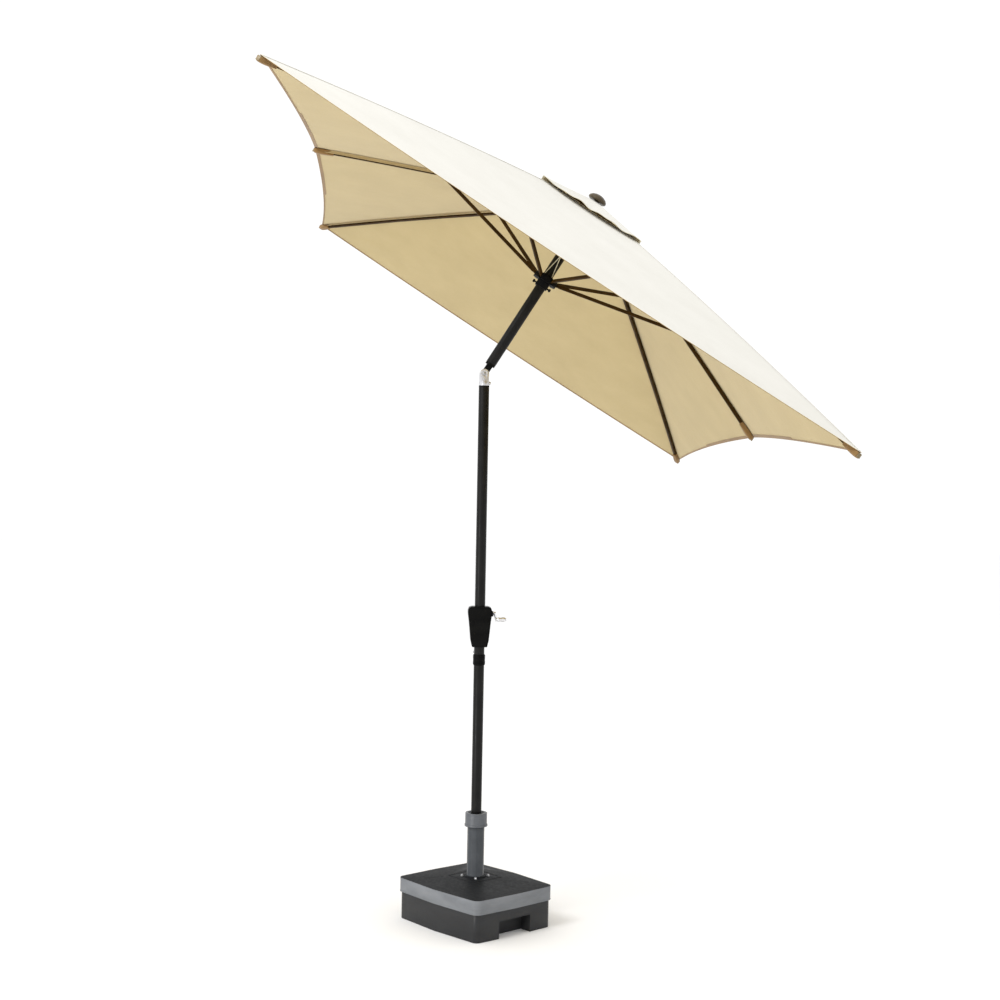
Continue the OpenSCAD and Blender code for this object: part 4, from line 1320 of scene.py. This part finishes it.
@dataclass
class CrankBox:
    """The crank housing, its seam, screws, crank arm and knob."""

    up: float = 1.128
    seam_wide: float = 0.0009
    seam_deep: float = 0.0010

    def build(self) -> None:
        """Builds the crank's pieces."""
        housing = CarriedPiece("crank_housing", "mast", Finish.HOUSING, 0.0022).make()
        self.part_line(housing)
        carry(CarriedPiece("housing_screws", "mast", Finish.BLACK, 0.0004),
              CarriedPiece("crank", "crank", Finish.CHROME, 0.0012),
              CarriedPiece("crank_spool", "crank", Finish.STEEL, 0.0004),
              CarriedPiece("crank_knob", "crank_knob", Finish.CHROME, 0.0014))
        self.boss_ring()

    def part_line(self, housing: bpy.types.Object) -> None:
        """Cuts the fine line where the housing's halves meet."""
        low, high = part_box("crank_housing")
        outer = block((high[0] - low[0] + 0.1, self.seam_wide, high[2] - low[2] + 0.1))
        bpy.ops.object.mode_set(mode="EDIT")
        bpy.ops.transform.translate(value=((low[0] + high[0]) / 2, 0, (low[2] + high[2]) / 2))
        bpy.ops.object.mode_set(mode="OBJECT")
        keep = shrunk_copy(housing, self.seam_deep)
        apply_modifier(outer, "BOOLEAN", operation="DIFFERENCE", object=keep, solver="EXACT")
        apply_modifier(housing, "BOOLEAN", operation="DIFFERENCE", object=outer, solver="EXACT")
        for extra in (outer, keep):
            bpy.data.objects.remove(extra)
        smooth(housing, 32)

    def boss_ring(self) -> None:
        """Makes the bright washer between the housing and the arm."""
        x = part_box("crank_housing")[1][0]
        washer = turned([(0.0055, 0), (0.0105, 0), (0.0108, 0.0012), (0.0095, 0.0022), (0.0055, 0.0024)], 32)
        place = Matrix.Translation((x + 0.0003, 0, self.up)) @ along("+X")
        fitted(washer, "crank_washer", place, "crank", Finish.CHROME)


def shrunk_copy(piece: bpy.types.Object, inset: float) -> bpy.types.Object:
    """Copies a closed piece, shrunk by moving its surface inward.

    Args:
        piece: The piece.
        inset: How far its surface moves.

    Returns:
        The smaller copy.
    """
    core = bpy.data.objects.new("core", piece.data.copy())
    bpy.context.collection.objects.link(core)
    take(core)
    bpy.ops.object.mode_set(mode="EDIT")
    bpy.ops.mesh.select_all(action="SELECT")
    bpy.ops.transform.shrink_fatten(value=-inset)
    bpy.ops.object.mode_set(mode="OBJECT")
    return core


@dataclass
class TiltJoint:
    """The cast knuckle that the upper pole tilts on."""

    head_r: float = 0.0062
    head_high: float = 0.0024

    def build(self) -> None:
        """Builds the knuckle's pieces."""
        carry(CarriedPiece("knuckle_lower", "mast", Finish.CAST, 0.0012),
              CarriedPiece("tilt_pin", "mast", Finish.STEEL, 0.0004),
              CarriedPiece("tilt_button", "tilt_button", Finish.CHROME, 0.0012),
              CarriedPiece("knuckle_upper", "upper_pole", Finish.HOUSING, 0.0008),
              CarriedPiece("cord_mast", "mast", Finish.CORD, 0.0))
        low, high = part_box("tilt_pin")
        head = dome(self.head_r, self.head_high)
        places = [Matrix.Translation((0, high[1] - 0.0002, CANOPY.pivot)) @ along("+Y"),
                  Matrix.Translation((0, low[1] + 0.0002, CANOPY.pivot)) @ along("-Y")]
        fitted(copied(head, places), "tilt_pin_heads", Matrix(), "mast", Finish.STEEL)


@dataclass
class UpperPole:
    """The tilted pole with the hub, its pins, the pulley and the finial."""

    hub_half: float = 0.018
    bead_rise: float = 0.0135

    def build(self) -> None:
        """Builds the upper pole's pieces."""
        carry(CarriedPiece("upper_tube", "upper_pole", Finish.POLE, 0.0005),
              CarriedPiece("cord_upper", "upper_pole", Finish.CORD, 0.0),
              CarriedPiece("hub", "upper_pole", Finish.BLACK, 0.0007),
              CarriedPiece("hub_pins", "upper_pole", Finish.STEEL, 0.0004),
              CarriedPiece("finial", "upper_pole", Finish.FINIAL, 0.0012),
              CarriedPiece("pulley", "pulley", Finish.STEEL, 0.0004))
        self.finial_ring()

    def finial_ring(self) -> None:
        """Makes the turned bead round the finial's stem."""
        bead = turned([(0.0085, -0.0016), (0.0105, -0.001), (0.0112, 0), (0.0105, 0.001), (0.0085, 0.0016)],
                      32)
        place = CANOPY.matrix() @ Matrix.Translation((0, 0, CANOPY.hub_up + self.hub_half + self.bead_rise))
        fitted(bead, "finial_bead", place, "upper_pole", Finish.FINIAL)


@dataclass
class RibSet:
    """The six ribs with their tips and struts, and the runner that lifts them."""

    rib_wide: float = 0.010
    strut_at: float = 0.500
    strut_off: float = 0.016

    def build(self) -> None:
        """Builds the runner and every rib."""
        carry(CarriedPiece("runner", "runner", Finish.BLACK, 0.0008),
              CarriedPiece("runner_knobs", "runner", Finish.BLACK, 0.0006))
        for rib in CANOPY.ribs:
            carry(CarriedPiece("rib_" + rib.tag, rib.body, Finish.RIB, 0.0009),
                  CarriedPiece("tip_" + rib.tag, rib.body, Finish.TIP, 0.0012),
                  CarriedPiece("strut_" + rib.tag, "strut_" + rib.tag, Finish.RIB, 0.0009))
            self.rivets(rib)

    def rivets(self, rib: Rib) -> None:
        """Makes the domed rivet heads on both sides of a strut's upper pivot."""
        x = self.strut_at * math.cos(math.atan(rib.slope))
        z = float(CANOPY.fall(rib, x)) - self.strut_off
        aside = self.rib_wide / 2 + 0.0029
        seat = CANOPY.matrix(rib.azimuth) @ Matrix.Translation((CANOPY.pin_ring + x, 0, z))
        heads = copied(dome(0.0048, 0.0022), [seat @ Matrix.Translation((0, aside, 0)) @ along("+Y"),
                                              seat @ Matrix.Translation((0, -aside, 0)) @ along("-Y")])
        fitted(heads, "rivets_" + rib.tag, Matrix(), "strut_" + rib.tag, Finish.STEEL)


@dataclass
class LiftCord:
    """The cream cord that runs from the pulley to its knot and down to the runner."""

    radius: float = 0.00135
    pulley_up: float = 0.660
    knot_up: float = 0.509
    runner_top: float = 0.425
    front: float = -0.02265
    leg_spread: float = 0.015
    leg_front: float = -0.0224
    knot_r: float = 0.0046

    def tube(self, points: list, sides: int = 10) -> tuple[list, list]:
        """Sweeps a round cord along points.

        Args:
            points: Points in the upper pole's frame.
            sides: Points round the cord.

        Returns:
            Points and faces.
        """
        spots, faces = [], []
        count = len(points)
        for k, at in enumerate(points):
            ahead = (Vector(points[min(k + 1, count - 1)]) - Vector(points[max(k - 1, 0)])).normalized()
            side = ahead.cross(Vector((0, 1, 0))).normalized()
            up = side.cross(ahead)
            for j in range(sides):
                a = 2 * math.pi * j / sides
                spots.append(tuple(Vector(at) + self.radius * (math.cos(a) * side + math.sin(a) * up)))
        for k in range(count - 1):
            for j in range(sides):
                a, b = k * sides + j, k * sides + (j + 1) % sides
                faces.append([a, b, b + sides, a + sides])
        faces += [list(range(sides))[::-1], [(count - 1) * sides + j for j in range(sides)]]
        return spots, faces

    def run(self, a: Point, b: Point, sag: float) -> list:
        """Points of a stretch of cord that bows out a little from the pole.

        Args:
            a: Where it starts.
            b: Where it ends.
            sag: How far its middle stands out.

        Returns:
            The points.
        """
        return [tuple(a[i] * (1 - t) + b[i] * t + (-sag * 4 * t * (1 - t) if i == 1 else 0) for i in range(3))
                for t in np.linspace(0, 1, 17)]

    def build(self) -> None:
        """Builds the cord's three stretches and its knot."""
        knot = (0.0, self.front - 0.003, self.knot_up)
        runs = [self.run((0.008, self.front, self.pulley_up), knot, 0.001)]
        runs += [self.run(knot, (side * self.leg_spread, self.leg_front, self.runner_top + 0.0006), 0.0006)
                 for side in (-1, 1)]
        points, faces = [], []
        for stretch in runs:
            spots, rings = self.tube(stretch)
            faces += [[i + len(points) for i in f] for f in rings]
            points += spots
        cord = mesh_piece("lift_cord_braid", CANOPY.world(np.array(points)), faces, "runner")
        coat(cord, Finish.CORD)
        smooth(cord, 60)
        clear_selection()
        bpy.ops.mesh.primitive_ico_sphere_add(subdivisions=3, radius=self.knot_r)
        ball = bpy.context.object
        for vertex in ball.data.vertices:
            n = vertex.co.normalized()
            vertex.co += n * 0.0006 * math.sin(9 * n.x + 6 * n.z) * math.cos(7 * n.y)
        place = CANOPY.matrix() @ Matrix.Translation(knot)
        fitted(ball, "cord_knot", place, "runner", Finish.CORD, 60)
        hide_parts("lift_cord")
        tuple(CANOPY.world(np.array([0, 0, 1.0])) - CANOPY.world(np.zeros(3)))
        tuple(CANOPY.world(np.array([0, self.front, self.runner_top])))
        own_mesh(cord)


# ---------------------------------------------------------------- studio


@dataclass
class Studio:
    """A pale floor, soft light all round and the camera."""

    eye: Point = (-0.26299, -5.84597, 1.64291)
    yaw: float = 0.05618
    pitch: float = -0.017
    roll: float = 0.01849
    lens: float = 57.90
    sky: float = 1.06
    key: float = 150.0
    left_fill: float = 70.0
    floor: PalePlain = PalePlain("studio_floor", (0.96, 0.96, 0.96))

    def camera(self) -> None:
        """Sets up the camera."""
        data = bpy.data.cameras.new("camera")
        data.lens = self.lens
        data.sensor_width = 36.0
        data.clip_end = 100.0
        eye = bpy.data.objects.new("camera", data)
        bpy.context.collection.objects.link(eye)
        ahead = Vector((math.sin(self.yaw) * math.cos(self.pitch), math.cos(self.yaw) * math.cos(self.pitch),
                        math.sin(self.pitch)))
        right = Vector((math.cos(self.yaw), -math.sin(self.yaw), 0.0))
        up = right.cross(ahead)
        x = right * math.cos(self.roll) + up * math.sin(self.roll)
        y = up * math.cos(self.roll) - right * math.sin(self.roll)
        eye.matrix_world = Matrix((x, y, -ahead)).transposed().to_4x4()
        eye.location = self.eye
        bpy.context.scene.camera = eye

    def light(self, name: str, at: Point, look: Point, wide: float, power: float) -> None:
        """Adds one soft light.

        Args:
            name: The light's name.
            at: Its place.
            look: Where it points.
            wide: Its side in metres.
            power: Its power in watts.
        """
        data = bpy.data.lights.new(name, "AREA")
        data.size = wide
        data.energy = power
        lamp = bpy.data.objects.new(name, data)
        bpy.context.collection.objects.link(lamp)
        lamp.location = at
        lamp.rotation_euler = (Vector(look) - Vector(at)).to_track_quat("-Z", "Y").to_euler()

    def build(self) -> None:
        """Builds the floor, the lights and the world."""
        self.camera()
        clear_selection()
        bpy.ops.mesh.primitive_plane_add(size=60)
        ground = bpy.context.object
        ground.name = "studio_floor"
        ground.data.materials.append(self.floor.make())
        world = bpy.data.worlds.new("studio")
        bpy.context.scene.world = world
        world.use_nodes = True
        background = world.node_tree.nodes["Background"]
        background.inputs["Color"].default_value = (1, 1, 1, 1)
        background.inputs["Strength"].default_value = self.sky
        self.light("key", (-3.5, -3.0, 5.5), (0.2, 0, 1.9), 2.0, self.key)
        self.light("left_fill", (-4.0, -3.5, 0.5), (0.0, 0, 1.6), 1.5, self.left_fill)
        bpy.context.scene.view_settings.view_transform = "Standard"


def main() -> None:
    """Builds the whole umbrella and its studio."""
    logging.basicConfig(level=logging.INFO, format="%(name)s: %(message)s")
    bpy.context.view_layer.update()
    Studio().build()
    for part in (FillableBase(), PoleSocket(), Mast(), CrankBox(), TiltJoint(), UpperPole(), RibSet(),
                 LiftCord(), ClothPanels(), VentCap()):
        part.build()
        log.info("%s is built", type(part).__name__)


if __name__ == "__main__":
    main()
